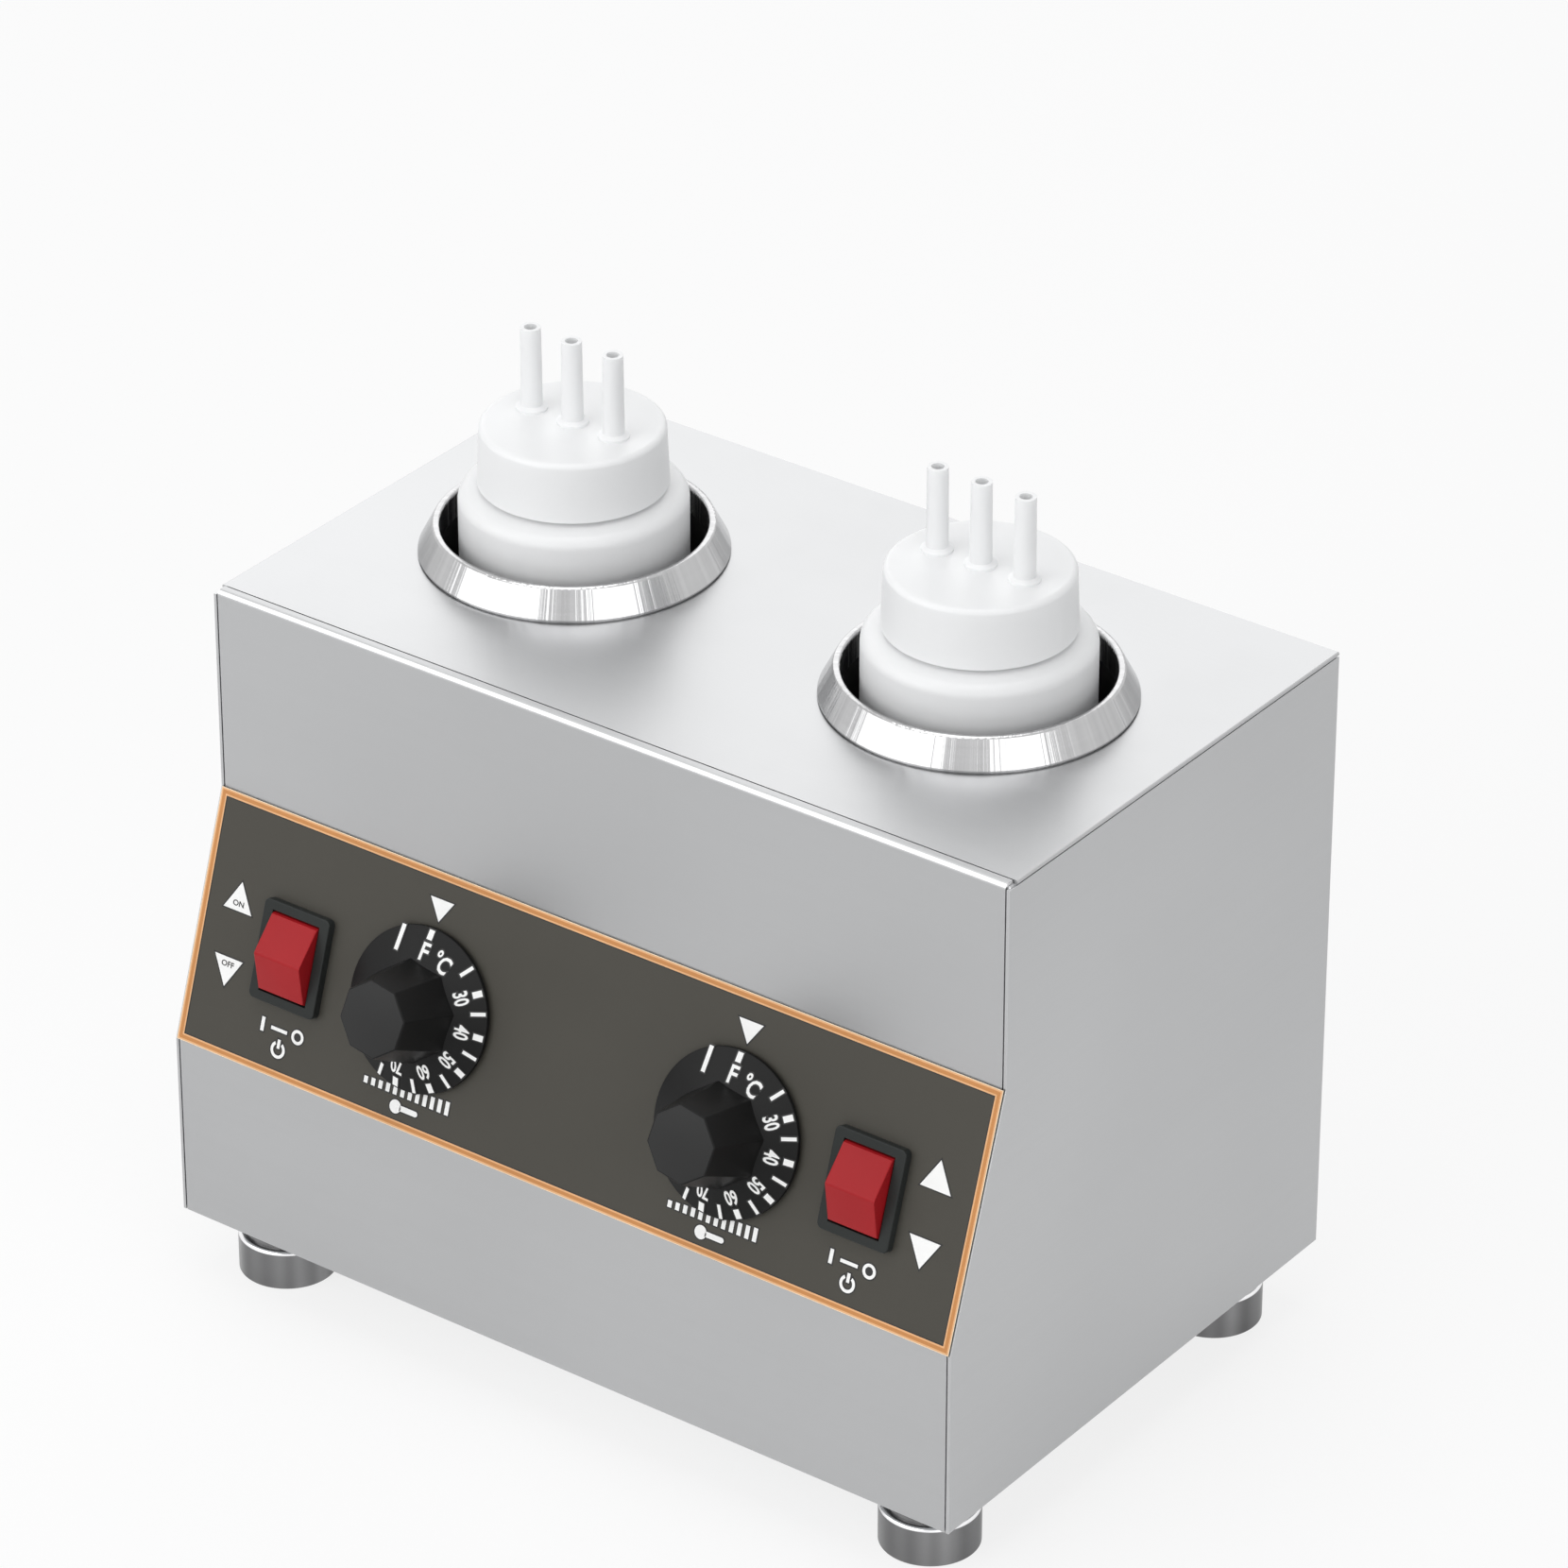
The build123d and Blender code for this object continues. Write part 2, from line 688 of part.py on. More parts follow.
for side, sign in sides:
    dial_plane = panel_spot(sign * dial_spacing / 2, dial_rise)
    dial_axis = Axis(dial_plane.origin, dial_plane.z_dir)

    # thermostat: moulded box, steel face plate behind the sheet and a bush through it
    with BuildPart() as thermostat:
        with BuildSketch(dial_plane.offset(-sheet)) as thermo_face:
            RectangleRounded(thermo_width, thermo_height, thermo_corner)
        extrude(amount=-thermo_plate)
        with BuildSketch(dial_plane.offset(-sheet - thermo_plate)) as thermo_box:
            Rectangle(thermo_box_width, thermo_box_height)
        extrude(amount=-thermo_depth)
        with BuildSketch(dial_plane.offset(-sheet)) as bush:
            Circle(bush_radius)
        extrude(amount=bush_length)
        with BuildSketch(dial_plane.offset(bush_length)) as shaft_bore:
            Circle(shaft_radius + shaft_fit)
        extrude(amount=-(bush_length + sheet + thermo_plate + thermo_depth / 2), mode=Mode.SUBTRACT)
        with BuildSketch(dial_plane.offset(-sheet)) as thermo_screw_holes:
            with GridLocations(thermo_screw_pitch, 0, 2, 1):
                Circle(thermo_screw_radius)
        extrude(amount=-2 * thermo_plate, mode=Mode.SUBTRACT)
    save(thermostat, f"{side}_thermostat")

    with BuildPart() as thermo_screws:
        for k in (-1, 1):
            screw_spot = panel_spot(sign * dial_spacing / 2 + k * thermo_screw_pitch / 2, dial_rise)
            with BuildSketch(screw_spot.offset(-sheet - thermo_screw_length)) as thermo_shank:
                Circle(thermo_screw_radius)
            extrude(amount=sheet + thermo_screw_length)
            with BuildSketch(screw_spot) as thermo_head:
                Circle(screw_head_radius)
            extrude(amount=film + skirt_gap)
    save(thermo_screws, f"{side}_thermostat_screws")

    # dial shaft, flattened on one side
    shaft_end = film + skirt_gap + knob_height - grip_roof
    shaft_root = sheet + thermo_plate + thermo_depth / 2 - bush_gap
    with BuildPart() as shaft:
        with BuildSketch(dial_plane.offset(-shaft_root)) as shaft_round:
            Circle(shaft_radius)
        extrude(amount=shaft_root + shaft_end)
        with BuildSketch(dial_plane.offset(bush_length + bush_gap)) as shaft_flat_cut:
            with Locations((0, 2 * shaft_radius - shaft_flat)):
                Rectangle(4 * shaft_radius, 2 * shaft_radius)
        extrude(amount=shaft_end, mode=Mode.SUBTRACT)
    save(shaft, f"{side}_dial_shaft")

    # dial knob: conical skirt and a tapered eight-sided grip, hollow round its hub
    knob_plane = dial_plane.offset(film + skirt_gap)
    with BuildPart() as knob:
        with BuildSketch(turning(knob_plane)) as skirt_section:
            with BuildLine():
                Polyline(
                    (0, 0),
                    (skirt_radius, 0),
                    (skirt_radius, skirt_rim),
                    (skirt_top_radius, skirt_rise),
                    (0, skirt_rise),
                    close=True,
                )
            make_face()
        revolve(axis=dial_axis)
        with BuildSketch(knob_plane.offset(skirt_rise - grip_sink)) as grip_root:
            RegularPolygon(grip_root_radius, 8, rotation=grip_turn)
        with BuildSketch(knob_plane.offset(knob_height - skirt_gap)) as grip_nose:
            RegularPolygon(grip_nose_radius, 8, rotation=grip_turn)
        loft()
        with BuildSketch(turning(knob_plane)) as hollow_section:
            with BuildLine():
                Polyline(
                    (hub_radius, 0),
                    (skirt_radius - 2 * skirt_wall, 0),
                    (grip_nose_radius - skirt_wall, skirt_rise - skirt_wall),
                    (grip_nose_radius - 2 * skirt_wall, knob_height - grip_roof),
                    (hub_radius, knob_height - grip_roof),
                    close=True,
                )
            make_face()
        revolve(axis=dial_axis, mode=Mode.SUBTRACT)
        with BuildSketch(knob_plane) as bush_room:
            Circle(bush_radius + bush_gap)
        extrude(amount=bush_length, mode=Mode.SUBTRACT)
        with BuildSketch(knob_plane) as shaft_socket:
            Circle(shaft_radius + shaft_fit)
            with Locations((0, 2 * shaft_radius - shaft_flat + shaft_fit)):
                Rectangle(4 * shaft_radius, 2 * shaft_radius, mode=Mode.SUBTRACT)
        extrude(amount=shaft_end - film - skirt_gap + shaft_fit, mode=Mode.SUBTRACT)
        fillet(knob.faces().sort_by(dial_axis)[-1].edges(), radius=grip_edge)
    save(knob, f"{side}_knob")

    # sensor bulb in a sleeve on the pot, with its capillary tube back to the thermostat
    facing = bulb_facing if sign > 0 else 180 - bulb_facing
    bulb_arm = well_outer + bulb_sleeve + bulb_fit + bulb_radius
    bulb_x = sign * well_spacing / 2 + bulb_arm * cos(radians(facing))
    bulb_y = well_y + bulb_arm * sin(radians(facing))
    bulb_bottom = top_z - bulb_drop - bulb_length
    thermo_back = dial_plane.offset(-(sheet + thermo_plate + thermo_depth))
    with BuildPart() as bulb_sleeve_tube:
        with BuildSketch(upright(bulb_x, bulb_y, bulb_bottom + bulb_radius)) as sleeve_face:
            Circle(bulb_radius + bulb_fit + bulb_sleeve)
            Circle(bulb_radius + bulb_fit, mode=Mode.SUBTRACT)
        extrude(amount=bulb_length - 2 * bulb_radius)
    save(bulb_sleeve_tube, f"{side}_bulb_sleeve")

    with BuildPart() as sensor:
        with BuildSketch(upright(bulb_x, bulb_y, bulb_bottom)) as bulb:
            Circle(bulb_radius)
        extrude(amount=bulb_length)
        fillet(sensor.edges(), radius=bulb_end)
        with BuildLine() as capillary_path:
            FilletPolyline(
                (bulb_x, bulb_y, bulb_bottom + bulb_radius),
                (bulb_x, bulb_y, bulb_bottom - capillary_drop),
                (bulb_x, bulb_y - capillary_clear, bulb_bottom - capillary_drop),
                thermo_back.offset(-capillary_clear).origin,
                thermo_back.origin,
                radius=capillary_bend,
            )
        with BuildSketch(capillary_path.line ^ 0) as capillary_face:
            Circle(capillary_radius)
        sweep()
    save(sensor, f"{side}_sensor")

# ---- Rocker switches ----------------------------------------------------------------

for side, sign in sides:
    switch_plane = panel_spot(sign * switch_spacing / 2, switch_rise).offset(film)
    bezel_plane = switch_plane.offset(bezel_thickness)
    end_reach = sqrt((rocker_length / 2) ** 2 + (rocker_pivot + rocker_shore) ** 2)
    cavity_length = 2 * (end_reach + rocker_end_gap)
    cavity_width = rocker_width + 2 * rocker_side_gap
    pivot_spot = bezel_plane.offset(-rocker_pivot)
    rocker_side = Plane(pivot_spot.origin, x_dir=pivot_spot.y_dir, z_dir=pivot_spot.x_dir)

    # housing: bezel in front of the film, box through the sheet, blades behind
    with BuildPart() as housing:
        with BuildSketch(switch_plane) as bezel_face:
            RectangleRounded(bezel_width, bezel_height, bezel_corner)
        extrude(amount=bezel_thickness)
        bezel_rim = housing.faces().sort_by(Axis(switch_plane.origin, switch_plane.z_dir))[-1].edges()
        fillet(bezel_rim, radius=bezel_edge)
        with BuildSketch(switch_plane) as box_face:
            Rectangle(switch_body_width, switch_body_height)
        extrude(amount=-(switch_body_depth + film))
        with BuildSketch(bezel_plane) as cavity_mouth:
            Rectangle(cavity_width, cavity_length)
        extrude(amount=-rocker_cavity, mode=Mode.SUBTRACT)
        with BuildSketch(rocker_side) as pin_holes:
            Circle(rocker_pin_radius + rocker_pin_fit)
        extrude(amount=rocker_width / 2 + rocker_pin_length + rocker_side_gap, both=True,
                mode=Mode.SUBTRACT)
    save(housing, f"{side}_switch_housing")

    # rocker: a ridge across the middle, ends rounded about its pivot pins
    half_length = rocker_length / 2
    shore_h = rocker_pivot + rocker_shore
    root_h = rocker_pivot - rocker_root
    root_reach = sqrt(end_reach ** 2 - root_h ** 2)
    with BuildPart() as rocker:
        with BuildSketch(rocker_side) as rocker_section:
            with BuildLine():
                Line((half_length, shore_h), (0, rocker_pivot + rocker_ridge))
                Line((0, rocker_pivot + rocker_ridge), (-half_length, shore_h))
                ThreePointArc((-half_length, shore_h), (-end_reach, 0), (-root_reach, root_h))
                Line((-root_reach, root_h), (root_reach, root_h))
                ThreePointArc((root_reach, root_h), (end_reach, 0), (half_length, shore_h))
            make_face()
            fillet(rocker_section.vertices().sort_by(Axis.Y)[-1], radius=rocker_nose)
        extrude(amount=rocker_width / 2, both=True)
        with BuildSketch(rocker_side) as rocker_pins:
            Circle(rocker_pin_radius)
        extrude(amount=rocker_width / 2 + rocker_pin_length, both=True)
    save(rocker, f"{side}_rocker")

    with BuildPart() as blades:
        for k in (-1, 0, 1):
            blade_spot = panel_spot(sign * switch_spacing / 2, switch_rise + k * blade_pitch)
            with BuildSketch(blade_spot.offset(-switch_body_depth)) as blade:
                Rectangle(blade_width, blade_thickness)
            extrude(amount=-blade_length)
    save(blades, f"{side}_switch_blades")

# ---- Rear: mains entry and screws ---------------------------------------------------

gland_plane = Plane(origin=(gland_x, back_y, base_z + gland_z), x_dir=(-1, 0, 0), z_dir=(0, 1, 0))
with BuildPart() as cord_gland:
    with BuildSketch(gland_plane.offset(gland_reach)) as gland_round:
        Circle(gland_radius)
        Circle(gland_bore, mode=Mode.SUBTRACT)
    extrude(amount=-(gland_reach + sheet + 2 * gland_nut_thickness))
    with BuildSketch(gland_plane) as gland_hex:
        RegularPolygon(gland_nut_radius, 6)
        Circle(gland_bore, mode=Mode.SUBTRACT)
    extrude(amount=gland_nut_thickness)
    gland_end = cord_gland.edges().filter_by(GeomType.CIRCLE).group_by(Axis.Y)[-1]
    chamfer(gland_end.sort_by(SortBy.RADIUS)[-1], length=gland_chamfer)
save(cord_gland, "cord_gland")

with BuildPart() as gland_nut:
    with BuildSketch(gland_plane.offset(-sheet)) as nut_face:
        RegularPolygon(gland_nut_radius, 6)
        Circle(gland_radius, mode=Mode.SUBTRACT)
    extrude(amount=-gland_nut_thickness)
save(gland_nut, "gland_nut")

block_plane = upright(0, back_y - block_back, base_z + sheet)
block_pitch = block_length / block_ways
with BuildPart() as terminal_block:
    with BuildSketch(block_plane) as block_foot:
        Rectangle(block_length, block_width)
    extrude(amount=block_base)
    with BuildSketch(block_plane.offset(block_base)) as block_towers:
        with GridLocations(block_pitch, 0, block_ways, 1):
            Rectangle(block_pitch - block_slot, block_width - 2 * block_ledge)
            Circle(screw_radius, mode=Mode.SUBTRACT)
    extrude(amount=block_height - block_base)
save(terminal_block, "terminal_block")

# sleeved leads: out of each ceramic terminal, down beside the pot and back to the block
lead_z = base_z + sheet + (block_base + block_height) / 2
tower_front_y = block_plane.origin.Y - block_width / 2 + block_ledge
for side, sign in sides:
    facing = band_facing if sign > 0 else 180 - band_facing
    with BuildPart() as leads:
        for turn, way in ((-sign * terminal_turn, 0.5), (sign * terminal_turn, 1.5)):
            out_x = cos(radians(facing + turn))
            out_y = sin(radians(facing + turn))
            post_reach = well_outer + band_fit + band_thickness + terminal_length
            post_z = well_floor_z - well_floor + band_lift + terminal_rise
            bend_x = sign * well_spacing / 2 + (post_reach + lead_out) * out_x
            bend_y = well_y + (post_reach + lead_out) * out_y
            way_x = sign * way * block_pitch
            with BuildLine() as lead_path:
                FilletPolyline(
                    (sign * well_spacing / 2 + post_reach * out_x, well_y + post_reach * out_y, post_z),
                    (bend_x, bend_y, post_z),
                    (bend_x, bend_y, lead_z),
                    (way_x, bend_y, lead_z),
                    (way_x, tower_front_y, lead_z),
                    radius=lead_bend,
                )
            with BuildSketch(lead_path.line ^ 0) as lead_face:
                Circle(lead_radius)
            sweep(path=lead_path.line)
    save(leads, f"{side}_heater_leads")

# earth stud welded to the base, with its nut
earth_plane = upright(block_length / 2 + earth_gap, back_y - block_back, base_z + sheet)
with BuildPart() as earth_stud:
    with BuildSketch(earth_plane) as earth_shank:
        Circle(earth_radius)
    extrude(amount=earth_height)
    with BuildSketch(earth_plane.offset(earth_tag_room)) as earth_nut:
        RegularPolygon(earth_nut_radius, 6)
    extrude(amount=earth_nut_thickness)
save(earth_stud, "earth_stud")

with BuildPart() as rear_screws:
    for side, sign in sides:
        for z in rear_screw_heights:
            spot = Plane(origin=(sign * flange_x, back_y, z), x_dir=(-1, 0, 0), z_dir=(0, 1, 0))
            with BuildSketch(spot) as rear_head:
                Circle(screw_head_radius)
            extrude(amount=screw_head_height)
            with BuildSketch(spot) as rear_shank:
                Circle(screw_radius)
            extrude(amount=-screw_tip)
    fillet(rear_screws.edges().group_by(Axis.Y)[-1], radius=screw_head_edge)
save(rear_screws, "rear_screws")

with BuildPart() as base_screws:
    for side, sign in sides:
        spot = upright(sign * flange_x, front_y + case_depth / 2, base_z)
        with BuildSketch(spot) as base_head:
            Circle(screw_head_radius)
        extrude(amount=-screw_head_height)
        with BuildSketch(spot) as base_shank:
            Circle(screw_radius)
        extrude(amount=screw_tip)
save(base_screws, "base_screws")
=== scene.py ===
import json
import math

import bmesh
import bpy
from mathutils import Matrix, Vector


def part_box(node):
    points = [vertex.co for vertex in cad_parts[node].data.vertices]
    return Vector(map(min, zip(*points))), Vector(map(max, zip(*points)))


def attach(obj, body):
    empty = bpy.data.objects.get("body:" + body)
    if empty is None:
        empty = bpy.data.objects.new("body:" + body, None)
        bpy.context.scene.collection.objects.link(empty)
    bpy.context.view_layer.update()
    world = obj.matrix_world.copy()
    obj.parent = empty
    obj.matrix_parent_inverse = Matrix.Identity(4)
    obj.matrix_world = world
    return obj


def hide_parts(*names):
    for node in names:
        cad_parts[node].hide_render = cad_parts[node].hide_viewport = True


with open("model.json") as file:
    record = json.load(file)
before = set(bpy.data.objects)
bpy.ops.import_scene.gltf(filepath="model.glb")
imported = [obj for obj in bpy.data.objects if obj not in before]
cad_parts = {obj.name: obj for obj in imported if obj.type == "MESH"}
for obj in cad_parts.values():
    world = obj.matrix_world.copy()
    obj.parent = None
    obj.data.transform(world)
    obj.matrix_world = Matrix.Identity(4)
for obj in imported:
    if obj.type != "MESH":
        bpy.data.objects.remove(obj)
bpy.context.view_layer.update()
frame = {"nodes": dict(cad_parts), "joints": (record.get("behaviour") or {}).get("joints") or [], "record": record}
nodes = frame["nodes"]
joints = {joint["name"]: joint for joint in frame["joints"]}
mm = 0.001
sides = ("left", "right")
scene = bpy.context.scene

# places that everything else is measured from
frontLow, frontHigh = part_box("front_panel")
caseCorner = Vector((0, frontLow.y, frontLow.z))          # foot of the lower front strip
topZ = frontHigh.z
wellLow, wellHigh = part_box("right_well")
wellCentre = (wellLow + wellHigh) / 2
footLow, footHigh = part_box("front_right_foot")
footCentre = (footLow + footHigh) / 2
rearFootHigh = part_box("rear_right_foot")[1]
feetMiddle = Vector((0, (footLow.y + rearFootHigh.y) / 2, 0))

# the sloping control panel: x along the case, y up the slope, z straight out of it
dialSpot = Vector(joints["right_dial_turn"]["pos_m"])
slopeOut = Vector(joints["right_dial_turn"]["axis"]).normalized()
slopeUp = Vector((0, slopeOut.z, -slopeOut.y))
dialRise = (dialSpot.y - frontLow.y) / slopeUp.y
foldSpot = Vector((0, dialSpot.y, dialSpot.z)) - slopeUp * dialRise


def localFrame(*columns):
    # a matrix from the directions of its x, y and z and the spot it starts at
    return Matrix([[column[row] for column in columns] for row in range(3)] + [[0, 0, 0, 1]])


def panelPlace(x, rise, out=0.0):
    # a local frame on the sloping sheet
    spot = foldSpot + Vector((x, 0, 0)) + slopeUp * rise + slopeOut * out
    return localFrame(Vector((1, 0, 0)), slopeUp, slopeOut, spot)


def span(name, place, axis):
    # how far a node reaches along one axis of a local frame
    inverse = place.inverted()
    reach = [(inverse @ vertex.co)[axis] for vertex in nodes[name].data.vertices]
    return min(reach), max(reach)


filmTop = span("control_film", panelPlace(0, 0), 2)[1]
print("frame loaded:", len(nodes), "nodes")


# mesh helpers

def newObject(name, data):
    item = bpy.data.objects.new(name, data)
    scene.collection.objects.link(item)
    return item


def finalMesh(item):
    # the mesh of an object with its modifiers or its text worked out; the object goes
    mesh = bpy.data.meshes.new_from_object(item.evaluated_get(bpy.context.evaluated_depsgraph_get()))
    bpy.data.objects.remove(item)
    return mesh


def placePiece(name, mesh, finish, body, sharp=35.0):
    mesh.name = name
    mesh.shade_smooth()
    mesh.set_sharp_from_angle(angle=math.radians(sharp))
    piece = newObject(name, mesh)
    piece.data.materials.append(finishes[finish])
    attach(piece, body)
    return piece


def meshFrom(form, place=None):
    bmesh.ops.recalc_face_normals(form, faces=form.faces)
    mesh = bpy.data.meshes.new("form")
    form.to_mesh(mesh)
    form.free()
    if place is not None:
        mesh.transform(place)
    return mesh


def addTurned(form, profile, place=None, steps=96):
    # closed profile of (radius, height) points turned about the local z axis
    rings = []
    for radius, height in profile:
        if radius < 1e-9:
            rings.append([form.verts.new((0, 0, height))] * steps)
            continue
        rings.append([form.verts.new((x, y, height))
                      for x, y in around((0, 0), radius, [math.tau * k / steps for k in range(steps)])])
    for low, high in zip(rings, rings[1:] + rings[:1]):
        for k in range(steps):
            corners = [low[k], low[(k + 1) % steps], high[(k + 1) % steps], high[k]]
            corners = list(dict.fromkeys(corners))
            if len(corners) > 2:
                form.faces.new(corners)
    if place is not None:
        made = {vertex for ring in rings for vertex in ring}
        bmesh.ops.transform(form, matrix=place, verts=list(made))


def around(centre, radius, angles):
    return [(centre[0] + radius * math.cos(angle), centre[1] + radius * math.sin(angle)) for angle in angles]


def roundedCorner(centre, radius, start, end, steps=5):
    # points of an arc in a profile, angles in degrees
    return around(centre, radius, [math.radians(start + (end - start) * k / steps) for k in range(steps + 1)])


def addPrism(form, outline, low, high, place=None):
    # an outline of (x, y) points pulled from one height to another; returns its lower and upper end
    bottom = [form.verts.new((x, y, low)) for x, y in outline]
    top = [form.verts.new((x, y, high)) for x, y in outline]
    count = len(outline)
    for k in range(count):
        form.faces.new((bottom[k], bottom[(k + 1) % count], top[(k + 1) % count], top[k]))
    ends = [form.faces.new(bottom[::-1]), form.faces.new(top)]
    if place is not None:
        bmesh.ops.transform(form, matrix=place, verts=bottom + top)
    return ends


def bevelEdges(form, edges, width, segments):
    bmesh.ops.bevel(form, geom=edges, offset=width, offset_type="OFFSET", segments=segments, profile=0.5,
                    affect="EDGES")


def combined(first, second, operation):
    # one mesh from two
    item, other = newObject("joined", first), newObject("joined", second)
    change = item.modifiers.new("change", "BOOLEAN")
    change.operation = operation
    change.solver = "EXACT"
    change.object = other
    mesh = finalMesh(item)
    bpy.data.objects.remove(other)
    mesh.materials.clear()
    return mesh


def islands(name):
    # the separate solids of a node, each as its lowest and highest corner
    form = bmesh.new()
    form.from_mesh(nodes[name].data)
    bmesh.ops.remove_doubles(form, verts=form.verts, dist=1e-7)
    left, boxes = set(form.verts), []
    while left:
        front, found = [left.pop()], []
        while front:
            vertex = front.pop()
            found.append(vertex.co.copy())
            for edge in vertex.link_edges:
                other = edge.other_vert(vertex)
                if other in left:
                    left.remove(other)
                    front.append(other)
        boxes.append((Vector([min(spot[axis] for spot in found) for axis in range(3)]),
                      Vector([max(spot[axis] for spot in found) for axis in range(3)])))
    form.free()
    return sorted(boxes, key=lambda box: tuple(round(value, 5) for value in box[0]))


# shader helpers

def newMaterial(name):
    material = bpy.data.materials.new(name)
    material.use_nodes = True
    return material, material.node_tree, material.node_tree.nodes["Principled BSDF"]


def addNode(tree, kind, **values):
    node = tree.nodes.new(kind)
    for key, value in values.items():
        if hasattr(node, key):
            setattr(node, key, value)
        else:
            node.inputs[key.replace("_", " ")].default_value = value
    return node


def newGroup(name, inputs, outputs):
    tree = bpy.data.node_groups.new(name, "ShaderNodeTree")
    kinds = {"value": "NodeSocketFloat", "vector": "NodeSocketVector"}
    for label, kind, default in inputs:
        socket = tree.interface.new_socket(label, in_out="INPUT", socket_type=kinds[kind])
        socket.default_value = default
    for label, kind in outputs:
        tree.interface.new_socket(label, in_out="OUTPUT", socket_type=kinds[kind])
    return tree, tree.nodes.new("NodeGroupInput"), tree.nodes.new("NodeGroupOutput")


def useGroup(tree, group, **values):
    node = tree.nodes.new("ShaderNodeGroup")
    node.node_tree = group
    for key, value in values.items():
        node.inputs[key].default_value = value
    return node


def plug(tree, socket, value):
    if isinstance(value, (int, float)):
        socket.default_value = value
    elif isinstance(value, (tuple, list, Vector)):
        socket.default_value = (*value[:3], 1)[:len(socket.default_value)]
    else:
        tree.links.new(value, socket)


def plugAll(tree, sockets, **values):
    for key, value in values.items():
        plug(tree, sockets[key.replace("_", " ")], value)


def mathNode(tree, operation, first, second=None, clamp=False, kind="ShaderNodeMath"):
    node = addNode(tree, kind, operation=operation)
    if clamp:
        node.use_clamp = True
    plug(tree, node.inputs[0], first)
    if second is not None:
        plug(tree, node.inputs[1], second)
    return node.outputs[0]


def vectorNode(tree, operation, first, second=None):
    return mathNode(tree, operation, first, second, kind="ShaderNodeVectorMath")


def mixColour(tree, factor, first, second, blend="MIX"):
    node = tree.nodes.new("ShaderNodeMix")
    node.data_type = "RGBA"
    node.blend_type = blend
    for socket, value in ((node.inputs[0], factor), (node.inputs[6], first), (node.inputs[7], second)):
        plug(tree, socket, value)
    return node.outputs[2]


def objectPlace(tree):
    return tree.nodes.new("ShaderNodeTexCoord").outputs["Object"]


def separated(tree, vector):
    node = tree.nodes.new("ShaderNodeSeparateXYZ")
    plug(tree, node.inputs[0], vector)
    return node.outputs


def planeVector(tree, first, second):
    node = tree.nodes.new("ShaderNodeCombineXYZ")
    plug(tree, node.inputs[0], first)
    plug(tree, node.inputs[1], second)
    return node.outputs[0]


def rangeNode(tree, value, fromLow, fromHigh, toLow, toHigh):
    node = tree.nodes.new("ShaderNodeMapRange")
    plug(tree, node.inputs[0], value)
    for index, number in enumerate((fromLow, fromHigh, toLow, toHigh)):
        node.inputs[index + 1].default_value = number
    return node.outputs[0]


def noiseNode(tree, vector, scale, detail=2.0, roughness=0.5):
    node = addNode(tree, "ShaderNodeTexNoise", Roughness=roughness)
    plugAll(tree, node.inputs, Vector=vector, Scale=scale, Detail=detail)
    return node.outputs["Fac"]


def bumpNode(tree, height, strength, distance, normal=None):
    node = addNode(tree, "ShaderNodeBump", Distance=distance)
    plugAll(tree, node.inputs, Height=height, Strength=strength)
    if normal is not None:
        plug(tree, node.inputs["Normal"], normal)
    return node.outputs["Normal"]


# surface effects that several materials share

grainHeight = 0.04 * mm           # brush lines and tool marks at full depth
skinHeight = 0.05 * mm            # moulded texture at full depth


def buildBrushedGrain():
    # long fine brush lines: noise stretched along one axis by the Stretch input
    tree, inputs, outputs = newGroup(
        "brushedGrain",
        [("Stretch", "vector", (8, 900, 900)), ("Depth", "value", 0.08), ("Patch", "value", 6.0)],
        [("Grain", "value"), ("Cloud", "value"), ("Normal", "vector")],
    )
    place = objectPlace(tree)
    grain = noiseNode(tree, vectorNode(tree, "MULTIPLY", place, inputs.outputs["Stretch"]), 1.0, 3.0, 0.65)
    plugAll(tree, outputs.inputs, Grain=grain, Cloud=noiseNode(tree, place, inputs.outputs["Patch"]),
            Normal=bumpNode(tree, grain, inputs.outputs["Depth"], grainHeight))
    return tree


def buildTurnedGrain():
    # tool marks round an axis; four mirrored axes share one group through Middle and Offset
    tree, inputs, outputs = newGroup(
        "turnedGrain",
        [("Middle", "vector", (0, 0, 0)), ("Offset", "vector", (0, 0, 0)), ("Fine", "value", 900.0),
         ("Depth", "value", 0.1), ("Spokes", "value", 30.0), ("Spoke Depth", "value", 0.0),
         ("Spoke Detail", "value", 3.0)],
        [("Grain", "value"), ("Spoke", "value"), ("Cloud", "value"), ("Normal", "vector")],
    )
    place = objectPlace(tree)
    folded = vectorNode(tree, "ABSOLUTE", vectorNode(tree, "SUBTRACT", place, inputs.outputs["Middle"]))
    folded = vectorNode(tree, "SUBTRACT", folded, inputs.outputs["Offset"])
    across, along, up = separated(tree, folded)
    radius = mathNode(tree, "SQRT", mathNode(tree, "ADD", mathNode(tree, "MULTIPLY", across, across),
                                             mathNode(tree, "MULTIPLY", along, along)))
    # the bearing points round the axis, whatever the radius
    bearing = planeVector(tree, *(mathNode(tree, "DIVIDE", part, radius) for part in (across, along)))
    lines = planeVector(tree, *(mathNode(tree, "MULTIPLY", part, inputs.outputs["Fine"])
                                for part in (radius, up)))
    grain = noiseNode(tree, vectorNode(tree, "ADD", lines, bearing), 1.0, 3.0, 0.6)
    spokes = noiseNode(tree, bearing, inputs.outputs["Spokes"], inputs.outputs["Spoke Detail"], 0.6)
    ridged = bumpNode(tree, spokes, inputs.outputs["Spoke Depth"], mm)
    plugAll(tree, outputs.inputs, Grain=grain, Spoke=spokes, Cloud=noiseNode(tree, place, 40.0),
            Normal=bumpNode(tree, grain, inputs.outputs["Depth"], grainHeight, ridged))
    return tree


